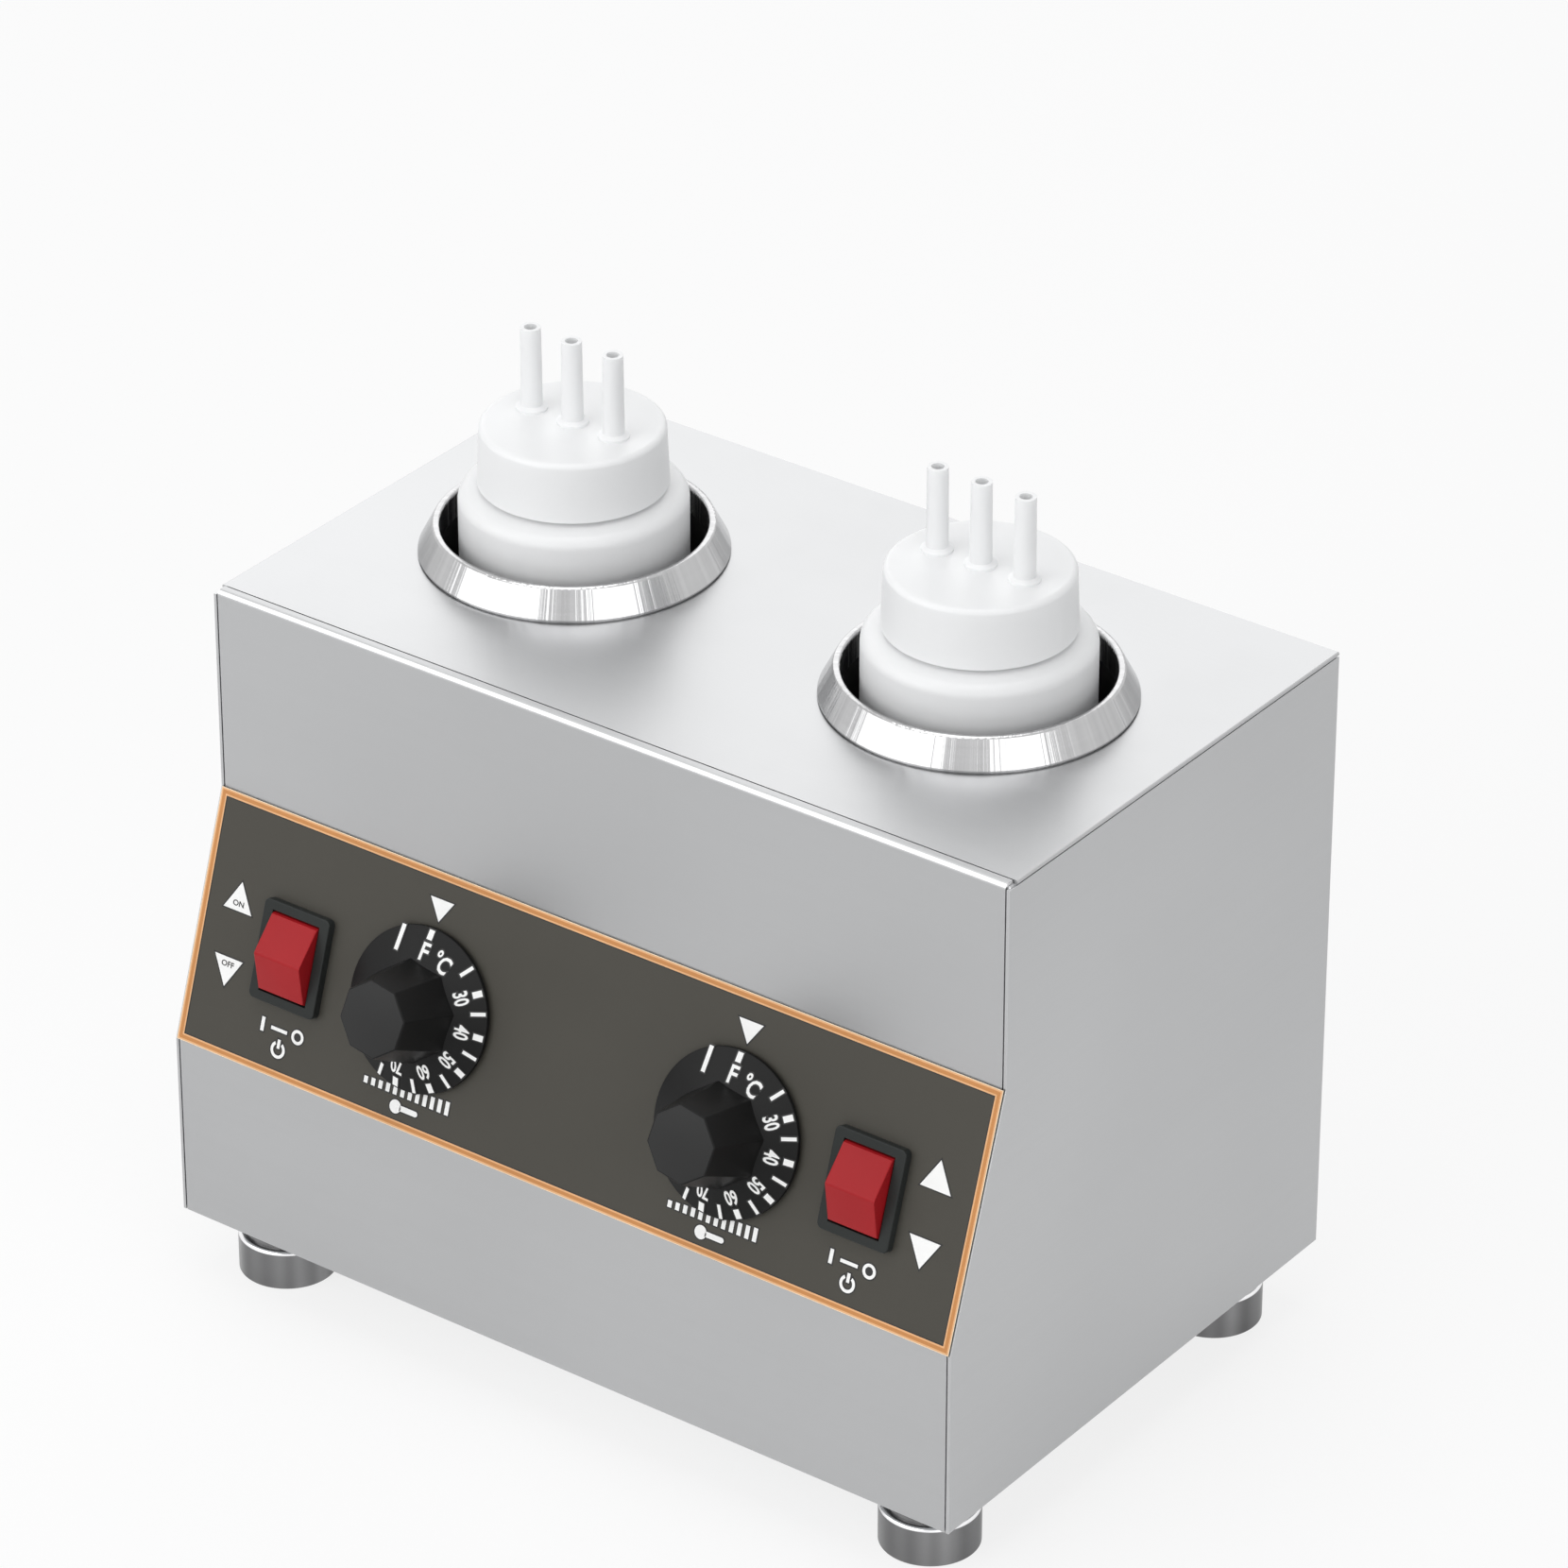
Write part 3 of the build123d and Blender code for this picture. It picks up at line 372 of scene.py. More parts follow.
def buildMouldedSkin():
    # fine moulded texture with a slow unevenness under it
    tree, inputs, outputs = newGroup(
        "mouldedSkin",
        [("Grain Scale", "value", 2500.0), ("Depth", "value", 0.15), ("Patch", "value", 25.0)],
        [("Speck", "value"), ("Cloud", "value"), ("Normal", "vector")],
    )
    place = objectPlace(tree)
    speck = noiseNode(tree, place, inputs.outputs["Grain Scale"], 2.0, 0.6)
    cloud = noiseNode(tree, place, inputs.outputs["Patch"], 3.0, 0.55)
    plugAll(tree, outputs.inputs, Speck=speck, Cloud=cloud,
            Normal=bumpNode(tree, speck, inputs.outputs["Depth"], skinHeight))
    return tree


def buildEdgeWearAndHighlight():
    # 1 along outer edges that hands and cloths rub and that catch the light, broken up by noise; it marks wear and
    # a painted edge highlight
    tree, inputs, outputs = newGroup(
        "edgeWear",
        [("Width", "value", 0.0006), ("Breakup", "value", 180.0), ("Amount", "value", 1.0)],
        [("Mask", "value")],
    )
    rounded = addNode(tree, "ShaderNodeBevel", samples=4)
    plug(tree, rounded.inputs["Radius"], inputs.outputs["Width"])
    plain = tree.nodes.new("ShaderNodeNewGeometry").outputs["True Normal"]
    together = tree.nodes.new("ShaderNodeVectorMath")
    together.operation = "DOT_PRODUCT"
    plug(tree, together.inputs[0], rounded.outputs[0])
    plug(tree, together.inputs[1], plain)
    edge = rangeNode(tree, together.outputs["Value"], 0.995, 0.8, 0.0, 1.0)
    place = objectPlace(tree)
    patches = noiseNode(tree, place, inputs.outputs["Breakup"], 4.0, 0.6)
    wornAndLit = mathNode(tree, "MULTIPLY", edge, rangeNode(tree, patches, 0.35, 0.65, 0.2, 1.0))
    mask = mathNode(tree, "MULTIPLY", wornAndLit, inputs.outputs["Amount"], True)
    plug(tree, outputs.inputs["Mask"], mask)
    return tree


def buildHandMarks():
    # faint wiped smears and prints that only change the roughness
    tree, inputs, outputs = newGroup(
        "handMarks",
        [("Size", "value", 9.0), ("Amount", "value", 0.1)],
        [("Haze", "value")],
    )
    place = objectPlace(tree)
    drift = vectorNode(tree, "MULTIPLY", place, (1.0, 1.0, 2.6))
    broad = rangeNode(tree, noiseNode(tree, drift, inputs.outputs["Size"], 5.0, 0.6), 0.5, 0.72, 0.0, 1.0)
    streak = noiseNode(tree, vectorNode(tree, "MULTIPLY", place, (60.0, 60.0, 9.0)), 1.0, 3.0, 0.7)
    haze = mathNode(tree, "MULTIPLY", mathNode(tree, "MULTIPLY", broad, streak), inputs.outputs["Amount"])
    plug(tree, outputs.inputs["Haze"], haze)
    return tree


brushedGrain = buildBrushedGrain()
turnedGrain = buildTurnedGrain()
mouldedSkin = buildMouldedSkin()
edgeWear = buildEdgeWearAndHighlight()
handMarks = buildHandMarks()
print("shared surface effects built")


# materials

metalLook = {
    "streak": 0.015,              # tone of the grain, either way
    "roughSpread": 0.12,
    "wornTone": 1.25,             # rubbed edges and painted edge highlights over the plain tone
}
plasticLook = {
    "roughSpread": 0.15,
    # paler edges: rubbed wear and a painted edge highlight
    "wornTone": 1.6,
    "wornLift": 0.01,
    "wornWidth": 0.5 * mm,
    "bleed": 4.0 * mm,            # how far light spreads inside
}


def finishMetal(tree, shader, grain, tone, rough, cloudDepth, marks, wear, paintedReflectionTone=0.0, rim=None):
    shade = metalLook["streak"]
    streak = rangeNode(tree, grain.outputs["Grain"], 0.3, 0.7, 1 - shade, 1 + shade)
    patch = rangeNode(tree, grain.outputs["Cloud"], 0.3, 0.7, 1 - cloudDepth, 1 + cloudDepth)
    level = mathNode(tree, "MULTIPLY", streak, patch)
    # broad bands of tone round the axis: a painted reflection of the studio in the turned metal
    if paintedReflectionTone:
        paintedReflection = rangeNode(tree, grain.outputs["Spoke"], 0.35, 0.65, 1 - paintedReflectionTone, 1 + paintedReflectionTone)
        level = mathNode(tree, "MULTIPLY", level, paintedReflection)
    grey = tree.nodes.new("ShaderNodeCombineColor")
    for socket in grey.inputs:
        plug(tree, socket, level)
    colour = mixColour(tree, 1.0, tone, grey.outputs[0], "MULTIPLY")
    spread = rough * metalLook["roughSpread"]
    roughness = rangeNode(tree, grain.outputs["Grain"], 0.2, 0.8, rough - spread, rough + spread)
    if marks:
        haze = useGroup(tree, handMarks, Amount=marks)
        roughness = mathNode(tree, "ADD", roughness, haze.outputs["Haze"])
    # paler edges: rubbed wear and a painted edge highlight
    if wear:
        wornAndLit = useGroup(tree, edgeWear, Width=wear)
        bright = tuple(min(1.0, c * metalLook["wornTone"]) for c in tone)
        colour = mixColour(tree, wornAndLit.outputs["Mask"], colour, bright)
    if rim:
        low, high, soft, paintedHighlightTone = rim          # a painted highlight: a pale band between two heights
        height = separated(tree, objectPlace(tree))[2]
        rising = rangeNode(tree, height, low, low + soft, 0.0, 1.0)
        falling = rangeNode(tree, height, high, high + soft, 1.0, 0.0)
        colour = mixColour(tree, mathNode(tree, "MULTIPLY", rising, falling), colour, paintedHighlightTone)
    plugAll(tree, shader.inputs, Base_Color=colour, Roughness=roughness, Normal=grain.outputs["Normal"],
            Metallic=1.0)


def brushedSteel(name, tone, rough, stretch, cloudDepth=0.04, depth=0.08, marks=0.0, wear=0.0, rim=None):
    material, tree, shader = newMaterial(name)
    grain = useGroup(tree, brushedGrain, Stretch=stretch, Depth=depth)
    finishMetal(tree, shader, grain, tone, rough, cloudDepth, marks, wear, rim=rim)
    return material


def turnedSteel(name, tone, rough, middle, offset, fine=900.0, depth=0.1, cloudDepth=0.04, wear=0.0,
                spokes=30.0, spokeDepth=0.0, paintedReflectionTone=0.0, spokeDetail=3.0, rim=None):
    material, tree, shader = newMaterial(name)
    grain = useGroup(tree, turnedGrain, **{"Middle": middle, "Offset": offset, "Fine": fine, "Depth": depth,
                                           "Spokes": spokes, "Spoke Depth": spokeDepth,
                                           "Spoke Detail": spokeDetail})
    finishMetal(tree, shader, grain, tone, rough, cloudDepth, 0.0, wear, paintedReflectionTone, rim)
    return material


def mouldedPlastic(name, tone, rough, variation=0.08, depth=0.15, grainScale=2500.0, shine=0.5,
                   subsurface=0.0, wear=0.0):
    material, tree, shader = newMaterial(name)
    skin = useGroup(tree, mouldedSkin, **{"Grain Scale": grainScale, "Depth": depth})
    factor = rangeNode(tree, skin.outputs["Cloud"], 0.3, 0.7, 0.0, 1.0)
    darker = tuple(c * (1 - variation) for c in tone)
    lighter = tuple(min(1.0, c * (1 + variation)) for c in tone)
    colour = mixColour(tree, factor, darker, lighter)
    # paler edges: rubbed wear and a painted edge highlight
    if wear:
        wornAndLit = useGroup(tree, edgeWear, Width=plasticLook["wornWidth"], Amount=wear)
        pale = tuple(min(1.0, c * plasticLook["wornTone"] + plasticLook["wornLift"]) for c in tone)
        colour = mixColour(tree, wornAndLit.outputs["Mask"], colour, pale)
    spread = rough * plasticLook["roughSpread"]
    roughness = rangeNode(tree, skin.outputs["Speck"], 0.2, 0.8, rough - spread, rough + spread)
    plugAll(tree, shader.inputs, Base_Color=colour, Roughness=roughness, Normal=skin.outputs["Normal"],
            Specular_IOR_Level=shine)
    if subsurface:
        plugAll(tree, shader.inputs, Subsurface_Weight=subsurface, Subsurface_Scale=1.0,
                Subsurface_Radius=[plasticLook["bleed"]] * 3)
    return material


sheetLook = {"cloudDepth": 0.03, "depth": 0.02, "marks": 0.08, "wear": 0.0004}
wellMiddle = Vector((0, wellCentre.y, 0))
wellOffset = Vector((wellCentre.x, 0, 0))
footOffset = Vector((footCentre.x, rearFootHigh.y - feetMiddle.y - (footHigh.x - footCentre.x), 0))
# painted highlights of rounded edges, as pale bands: lowest and highest point, soft edge and tone
footPaintedHighlight = (12.4 * mm, 13.5 * mm, 0.12 * mm, (0.92, 0.92, 0.93))
foldPaintedHighlight = (topZ - 1.05 * mm, topZ - 0.28 * mm, 0.12 * mm, (0.93, 0.93, 0.935))
finishes = {
    "sheetAcross": brushedSteel("sheetAcross", (0.505, 0.509, 0.515), 0.34, (6, 1300, 1300), **sheetLook),
    "sheetFront": brushedSteel("sheetFront", (0.500, 0.504, 0.510), 0.44, (6, 1300, 1300), rim=foldPaintedHighlight,
                               **sheetLook),
    "sheetAlong": brushedSteel("sheetAlong", (0.540, 0.544, 0.550), 0.34, (1300, 6, 1300), **sheetLook),
    "plate": brushedSteel("basePlate", (0.42, 0.43, 0.44), 0.45, (300, 300, 300), 0.12),
    # the ring's and the feet's bands of tone round their axes are painted reflections
    "ring": turnedSteel("polishedRing", (0.50, 0.50, 0.505), 0.2, wellMiddle, wellOffset, 700.0, 0.03,
                        spokes=15.0, spokeDepth=0.3, paintedReflectionTone=0.07),
    # the very dark tone paints the shade deep inside the well
    "well": turnedSteel("wellSteel", (0.09, 0.09, 0.09), 0.4, wellMiddle, wellOffset, 500.0, 0.15),
    "foot": turnedSteel("turnedFoot", (0.28, 0.28, 0.283), 0.24, feetMiddle, footOffset, 1400.0, 0.03,
                        wear=0.0006, spokes=2.2, spokeDepth=0.8, paintedReflectionTone=0.34, spokeDetail=0.0,
                        rim=footPaintedHighlight),
    "screw": brushedSteel("screwSteel", (0.55, 0.55, 0.56), 0.3, (400, 400, 400), wear=0.0003),
    "band": brushedSteel("heaterBand", (0.4, 0.37, 0.32), 0.4, (400, 400, 60), 0.2),
    "brass": brushedSteel("bladeBrass", (0.7, 0.52, 0.25), 0.3, (400, 400, 400), 0.1),
    "copper": brushedSteel("capillaryCopper", (0.7, 0.36, 0.22), 0.3, (600, 600, 600), 0.1),
    "film": mouldedPlastic("controlFilm", (0.062, 0.058, 0.048), 0.5, 0.03, 0.1, 1800.0, shine=0.25),
    "printWhite": mouldedPlastic("printWhite", (0.93, 0.93, 0.92), 0.5, 0.03, 0.1, 1800.0),
    "printBlack": mouldedPlastic("printBlack", (0.009, 0.009, 0.009), 0.5, 0.1, 0.1, 1800.0),
    # pale outer line of the border: a painted highlight of the folds
    "borderPale": mouldedPlastic("borderPale", (0.86, 0.70, 0.52), 0.4, 0.04, 0.1, 1800.0),
    "borderLight": mouldedPlastic("borderLight", (0.78, 0.43, 0.20), 0.45, 0.05, 0.1, 1800.0),
    "borderDeep": mouldedPlastic("borderDeep", (0.56, 0.235, 0.065), 0.45, 0.05, 0.1, 1800.0),
    "knob": mouldedPlastic("knobPlastic", (0.010, 0.010, 0.010), 0.38, 0.08, 0.12, shine=0.13, wear=0.3),
    # paler than the knob: painted light on the nose face
    "knobNose": mouldedPlastic("knobNosePlastic", (0.031, 0.031, 0.031), 0.45, 0.04, 0.12, shine=0.13),
    "black": mouldedPlastic("blackMoulding", (0.026, 0.029, 0.028), 0.36, 0.08, 0.12, shine=0.15, wear=0.15),
    "red": mouldedPlastic("rockerRed", (0.355, 0.010, 0.014), 0.4, 0.06, 0.06, shine=0.2, wear=0.2),
    "bottle": mouldedPlastic("bottlePlastic", (0.90, 0.905, 0.91), 0.42, 0.01, 0.05, subsurface=0.4),
    "cap": mouldedPlastic("capPlastic", (0.91, 0.915, 0.92), 0.38, 0.01, 0.05, subsurface=0.3),
    "seal": mouldedPlastic("sealSilicone", (0.7, 0.7, 0.68), 0.45, 0.03),
    "rubber": mouldedPlastic("glandRubber", (0.016, 0.016, 0.017), 0.6, 0.15, 0.3, 3000.0, shine=0.3),
    "ceramic": mouldedPlastic("ceramic", (0.78, 0.75, 0.68), 0.25, 0.03),
    "brown": mouldedPlastic("thermostatCase", (0.06, 0.04, 0.03), 0.45, 0.1),
    "cream": mouldedPlastic("terminalPlastic", (0.7, 0.66, 0.56), 0.4, 0.05),
    "sleeve": mouldedPlastic("glassSleeving", (0.72, 0.70, 0.64), 0.7, 0.12, 0.5, 3500.0, shine=0.2),
}

slotFinish = {
    "black_moulding": "black", "blade_brass": "brass", "bottle_plastic": "bottle", "cap_plastic": "cap",
    "capillary_copper": "copper", "ceramic": "ceramic", "control_film": "film", "foot_metal": "foot",
    "galvanised_plate": "plate", "heater_steel": "band", "knob_plastic": "knob", "polished_ring": "ring",
    "rocker_red": "red", "screw_steel": "screw", "seal_silicone": "seal", "shaft_steel": "screw",
    "stainless_sheet": "sheetAcross", "terminal_plastic": "cream", "thermal_cutout": "black",
    "thermostat_plastic": "brown", "well_steel": "well", "wire_insulation": "sleeve",
}
nodeFinish = {part["node"]: slotFinish[part["material_slot"]] for part in frame["record"]["subparts"]}
nodeFinish["front_panel"] = "sheetFront"
for side in sides:
    nodeFinish[f"{side}_side_panel"] = "sheetAlong"         # brushed from front to back
for name, node in nodes.items():
    if not node.material_slots:
        node.data.materials.append(None)
    for slot in node.material_slots:
        slot.material = finishes[nodeFinish[name]]
print("materials set on", len(nodes), "nodes")


# thin ink laid on a surface: flat outlines carried over by a mapping of (x, y, height)

def addInk(form, outline, mapping, low, high, holes=()):
    flat = bmesh.new()
    loops = [outline, *holes]
    edges = []
    for loop in loops:
        corners = [flat.verts.new((x, y, 0)) for x, y in loop]
        edges += [flat.edges.new((corners[k], corners[(k + 1) % len(corners)])) for k in range(len(corners))]
    bmesh.ops.triangle_fill(flat, edges=edges, use_beauty=True, use_dissolve=False)
    addFlat(form, flat, mapping, low, high)


def addFlat(form, flat, mapping, low, high):
    # closes a flat mesh into a thin plate between two heights over the surface
    flat.verts.ensure_lookup_table()
    flat.verts.index_update()
    tops = [form.verts.new(mapping(v.co.x, v.co.y, high)) for v in flat.verts]
    bottoms = [form.verts.new(mapping(v.co.x, v.co.y, low)) for v in flat.verts]
    for face in flat.faces:
        form.faces.new([tops[v.index] for v in face.verts])
        form.faces.new([bottoms[v.index] for v in reversed(face.verts)])
    for edge in flat.edges:
        if len(edge.link_faces) == 1:
            a, b = edge.verts[0].index, edge.verts[1].index
            form.faces.new((tops[a], tops[b], bottoms[b], bottoms[a]))
    flat.free()


def textFlat(words, size, squeeze=1.0, grow=0.0, turn=0.0, shift=(0, 0)):
    # generic figures and letters as a flat mesh, turned and moved within their plane
    curve = bpy.data.curves.new("figures", "FONT")
    curve.body = words
    curve.size = size
    curve.align_x = "CENTER"
    curve.align_y = "CENTER"
    curve.offset = grow
    curve.resolution_u = 3
    mesh = finalMesh(newObject("figures", curve))
    flat = bmesh.new()
    flat.from_mesh(mesh)
    bpy.data.meshes.remove(mesh)
    bmesh.ops.remove_doubles(flat, verts=flat.verts, dist=1e-7)
    change = (Matrix.Translation((*shift, 0)) @ Matrix.Rotation(turn, 4, "Z")
              @ Matrix.Diagonal((squeeze, 1, 1, 1)))
    bmesh.ops.transform(flat, matrix=change, verts=flat.verts)
    return flat


def grown(outline, amount):
    # the outline moved outwards all round, for the dark line round a white mark
    count = len(outline)
    area = sum(outline[k][0] * outline[(k + 1) % count][1] - outline[(k + 1) % count][0] * outline[k][1]
               for k in range(count))
    way = 1 if area > 0 else -1
    points = []
    for k in range(count):
        before, here, after = (Vector(outline[(k + j) % count]) for j in (-1, 0, 1))
        first, second = (here - before).normalized(), (after - here).normalized()
        outFirst, outSecond = Vector((first.y, -first.x)) * way, Vector((second.y, -second.x)) * way
        lean = (outFirst + outSecond).normalized()
        reach = amount / max(0.35, lean.dot(outFirst))
        points.append(tuple(here + lean * reach))
    return points


def bar(x, y, width, height, turn=0.0):
    # a straight mark as an outline, turned about its own middle
    corners = [(-width / 2, -height / 2), (width / 2, -height / 2), (width / 2, height / 2),
               (-width / 2, height / 2)]
    cosine, sine = math.cos(turn), math.sin(turn)
    return [(x + a * cosine - b * sine, y + a * sine + b * cosine) for a, b in corners]


def disc(x, y, radius, steps=32, start=0.0, end=math.tau):
    closed = abs(end - start - math.tau) < 1e-6
    count = steps if closed else steps + 1
    return around((x, y), radius, [start + (end - start) * k / steps for k in range(count)])


ink = {"depth": 0.05 * mm, "keyLine": 0.45 * mm, "lift": 0.03 * mm}


def panelInk(x, y, out):
    return panelPlace(x, y, filmTop + out).translation


def inkLayers(whiteForm, blackForm, outlines, mapping, holes=()):
    # each white mark over its wider dark line
    for outline in outlines:
        addInk(blackForm, grown(outline, ink["keyLine"]), mapping, -ink["lift"], ink["depth"])
        addInk(whiteForm, outline, mapping, ink["depth"] / 2, 2 * ink["depth"])


# printed marks on the control film

marks = {
    "edge": 0.05 * mm,            # bare film outside the border
    "paleEdge": 0.25 * mm,        # pale line round the outside, a painted highlight of the folds
    "borderWidth": 2.2 * mm,
    "borderLine": 1.1 * mm,       # deep line along its middle
    "arrowX": (-135.0 * mm, 133.5 * mm),
    "arrowWidth": 11.2 * mm,
    "arrowHeight": 9.5 * mm,
    "upFoot": 47.2 * mm,
    "downFoot": 31.8 * mm,
    "pointerTop": 75.4 * mm,
    "pointerWidth": 9.1 * mm,
    "pointerHeight": 7.2 * mm,
    "shadowWidth": 0.35 * mm,     # dark line inside the border
    "bars": 12,                   # rising bars under each dial
    "barFoot": 10.4 * mm,
    "barPitch": 2.9 * mm,
    "barWidth": 1.5 * mm,
    "barHeight": 2.2 * mm,
    "barStep": 0.2 * mm,          # each bar over the last
    "signRow": 6.8 * mm,          # lying thermometer under them
    "stem": (-1.6 * mm, 4.6 * mm, 0.9 * mm),          # start, end, half width
    "bulb": (-3.2 * mm, 2.2 * mm),                    # place, radius
    "switchRow": 15.6 * mm,
    "onStroke": (-7.4 * mm, 1.3 * mm, 4.6 * mm),      # place, width, height
    "dash": (-0.8 * mm, 6.4 * mm, 1.1 * mm),
    "offRing": (6.6 * mm, 2.4 * mm, 1.4 * mm),        # place, radius, inner radius
    "powerRow": 9.3 * mm,
    "powerRing": (2.8 * mm, 1.8 * mm, math.radians(32)),   # radius, inner radius, half its gap
    "powerStroke": (1.9 * mm, 1.1 * mm, 3.0 * mm),    # rise, width, height
    "wordSize": 2.6 * mm,
    "wordSpread": 1.1,
    "wordGrow": 0.04 * mm,
    "wordRise": 2.3 * mm,         # into its arrow
}
film = {
    "growth": 0.45 * mm,          # out to the folds and the ends of the panel
    "dialHole": 5.6 * mm,
    "switchHole": (22.6 * mm, 28.6 * mm),
}
filmSpans = [span("control_film", panelPlace(0, 0), axis) for axis in range(3)]
filmLow = [filmSpans[axis][0] - film["growth"] for axis in range(2)]
filmHigh = [filmSpans[axis][1] + film["growth"] for axis in range(2)]


def ringOutline(inset):
    low, high = [value + inset for value in filmLow], [value - inset for value in filmHigh]
    return [(low[0], low[1]), (high[0], low[1]), (high[0], high[1]), (low[0], high[1])]


def buildFilm():
    holes = []
    for side in sides:
        dialX = joints[f"{side}_dial_turn"]["pos_m"][0]
        switchSpot = Vector(joints[f"{side}_rocker_tilt"]["pos_m"])
        rise = (switchSpot - foldSpot).dot(slopeUp)
        holes.append(disc(dialX, dialRise, film["dialHole"]))
        holes.append(bar(switchSpot.x, rise, *film["switchHole"]))
    form = bmesh.new()
    addInk(form, ringOutline(0), panelInk, filmSpans[2][0] - filmTop, 0, holes=holes)
    piece = placePiece("control_film_sheet", meshFrom(form), "film", "case")
    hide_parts("control_film")


def buildBorder():
    start = marks["edge"] + marks["paleEdge"]
    # the pale outer line is a painted highlight of the folds; the other lines are print
    for name, inset, width, lift, finish in (
        ("panel_border_edge", marks["edge"], marks["paleEdge"], 0.0, "borderPale"),
        ("panel_border", start, marks["borderWidth"], 0.0, "borderLight"),
        ("panel_border_line", start + (marks["borderWidth"] - marks["borderLine"]) / 2,
         marks["borderLine"], ink["depth"], "borderDeep"),
        ("panel_border_shadow", start + marks["borderWidth"], marks["shadowWidth"], 0.0, "printBlack"),
    ):
        form = bmesh.new()
        addInk(form, ringOutline(inset), panelInk, lift - ink["lift"], lift + ink["depth"],
               holes=[ringOutline(inset + width)])
        placePiece(name, meshFrom(form), finish, "case")


def arrow(x, foot, width, height, way):
    return [(x - width / 2, foot), (x + width / 2, foot), (x, foot + way * height)]


def buildPanelMarks():
    white, black = bmesh.new(), bmesh.new()
    outlines = []
    for x in marks["arrowX"]:
        outlines.append(arrow(x, marks["upFoot"], marks["arrowWidth"], marks["arrowHeight"], 1))
        outlines.append(arrow(x, marks["downFoot"], marks["arrowWidth"], marks["arrowHeight"], -1))
    for side in sides:
        dialX = joints[f"{side}_dial_turn"]["pos_m"][0]
        switchX = joints[f"{side}_rocker_tilt"]["pos_m"][0]
        outlines.append(arrow(dialX, marks["pointerTop"], marks["pointerWidth"], marks["pointerHeight"], -1))
        for k in range(marks["bars"]):
            height = marks["barHeight"] + marks["barStep"] * k
            x = dialX + (k - (marks["bars"] - 1) / 2) * marks["barPitch"]
            outlines.append(bar(x, marks["barFoot"] + height / 2, marks["barWidth"], height))
        start, end, half = marks["stem"]
        row = marks["signRow"]
        stem = [(dialX + start, row - half), (dialX + end, row - half)]
        stem += disc(dialX + end, row, half, 8, -math.pi / 2, math.pi / 2)[1:]
        stem += [(dialX + start, row + half)]
        outlines.append(stem)
        outlines.append(disc(dialX + marks["bulb"][0], row, marks["bulb"][1]))
        # on and off strokes, then a ring broken by a bar
        for place, width, height in (marks["onStroke"], marks["dash"]):
            outlines.append(bar(switchX + place, marks["switchRow"], width, height))
        rise, width, height = marks["powerStroke"]
        outlines.append(bar(switchX, marks["powerRow"] + rise, width, height))
        outer, inner, gap = marks["powerRing"]
        arcs = [disc(switchX, marks["powerRow"], radius, 28, math.pi / 2 + gap, math.pi * 2.5 - gap)
                for radius in (outer, inner)]
        outlines.append(arcs[0] + arcs[1][::-1])
        place, outer, inner = marks["offRing"]
        spot = (switchX + place, marks["switchRow"])
        addInk(black, disc(*spot, outer + ink["keyLine"]), panelInk, -ink["lift"], ink["depth"])
        addInk(white, disc(*spot, outer), panelInk, ink["depth"] / 2, 2 * ink["depth"],
               holes=[disc(*spot, inner)])
    inkLayers(white, black, outlines, panelInk)
    for words, foot, way in (("ON", marks["upFoot"], 1), ("OFF", marks["downFoot"], -1)):
        flat = textFlat(words, marks["wordSize"], marks["wordSpread"], marks["wordGrow"],
                        shift=(marks["arrowX"][0], foot + way * marks["wordRise"]))
        addFlat(black, flat, panelInk, 1.5 * ink["depth"], 3 * ink["depth"])
    placePiece("panel_marks", meshFrom(white), "printWhite", "case")
    placePiece("panel_mark_lines", meshFrom(black), "printBlack", "case")


buildFilm()
buildBorder()
buildPanelMarks()
print("control film printed")


# dial knobs with their printed scale

knob = {
    "rim": 1.6 * mm,              # upright edge of the skirt
    "skirtRise": 5.6 * mm,
    "skirtTop": 14.6 * mm,
    "rimRound": 0.35 * mm,
    "gripRoot": 16.6 * mm,
    "gripNose": 12.4 * mm,
    "gripTurn": math.radians(13.5),
    "gripBevel": 0.35 * mm,
    "noseInset": 0.45 * mm,       # disc let into the nose, paler to paint the light on its face
    "noseThickness": 0.5 * mm,
    "noseStep": 0.12 * mm,        # nose disc above its rim
    "thickTick": (2.0 * mm, 3.0 * mm, 24.5 * mm),     # width, length, radius of its middle
    "thinTick": (1.15 * mm, 4.6 * mm, 23.9 * mm),
    "figureRadius": 19.0 * mm,
    "figureSize": 6.3 * mm,
    "figureGrow": 0.15 * mm,
    "figureKey": 0.6 * mm,        # dark line round the figures
    "figureSqueeze": 0.72,
    "steps": 128,
    "sharp": 28.0,
    "thickAt": (0.5, 60.5, 92.3, 124.5, 155.0, 186.5),
    "thinAt": (42.0, 75.0, 108.0, 139.3, 170.0, 202.0),
    "figures": (("F", 0.5, 1.35, 1.2), ("°C", 22.0, 1.15, 1.15), ("30", 60.5, 1.0, 1.0),
                ("40", 92.3, 1.0, 1.0), ("50", 124.5, 1.0, 1.0), ("60", 155.0, 1.0, 1.0),
                ("70", 186.5, 1.0, 1.0)),   # words, bearing, width, size
    "loneBar": (-10.6 * mm, 20.5 * mm, 1.6 * mm, 8.0 * mm),
}


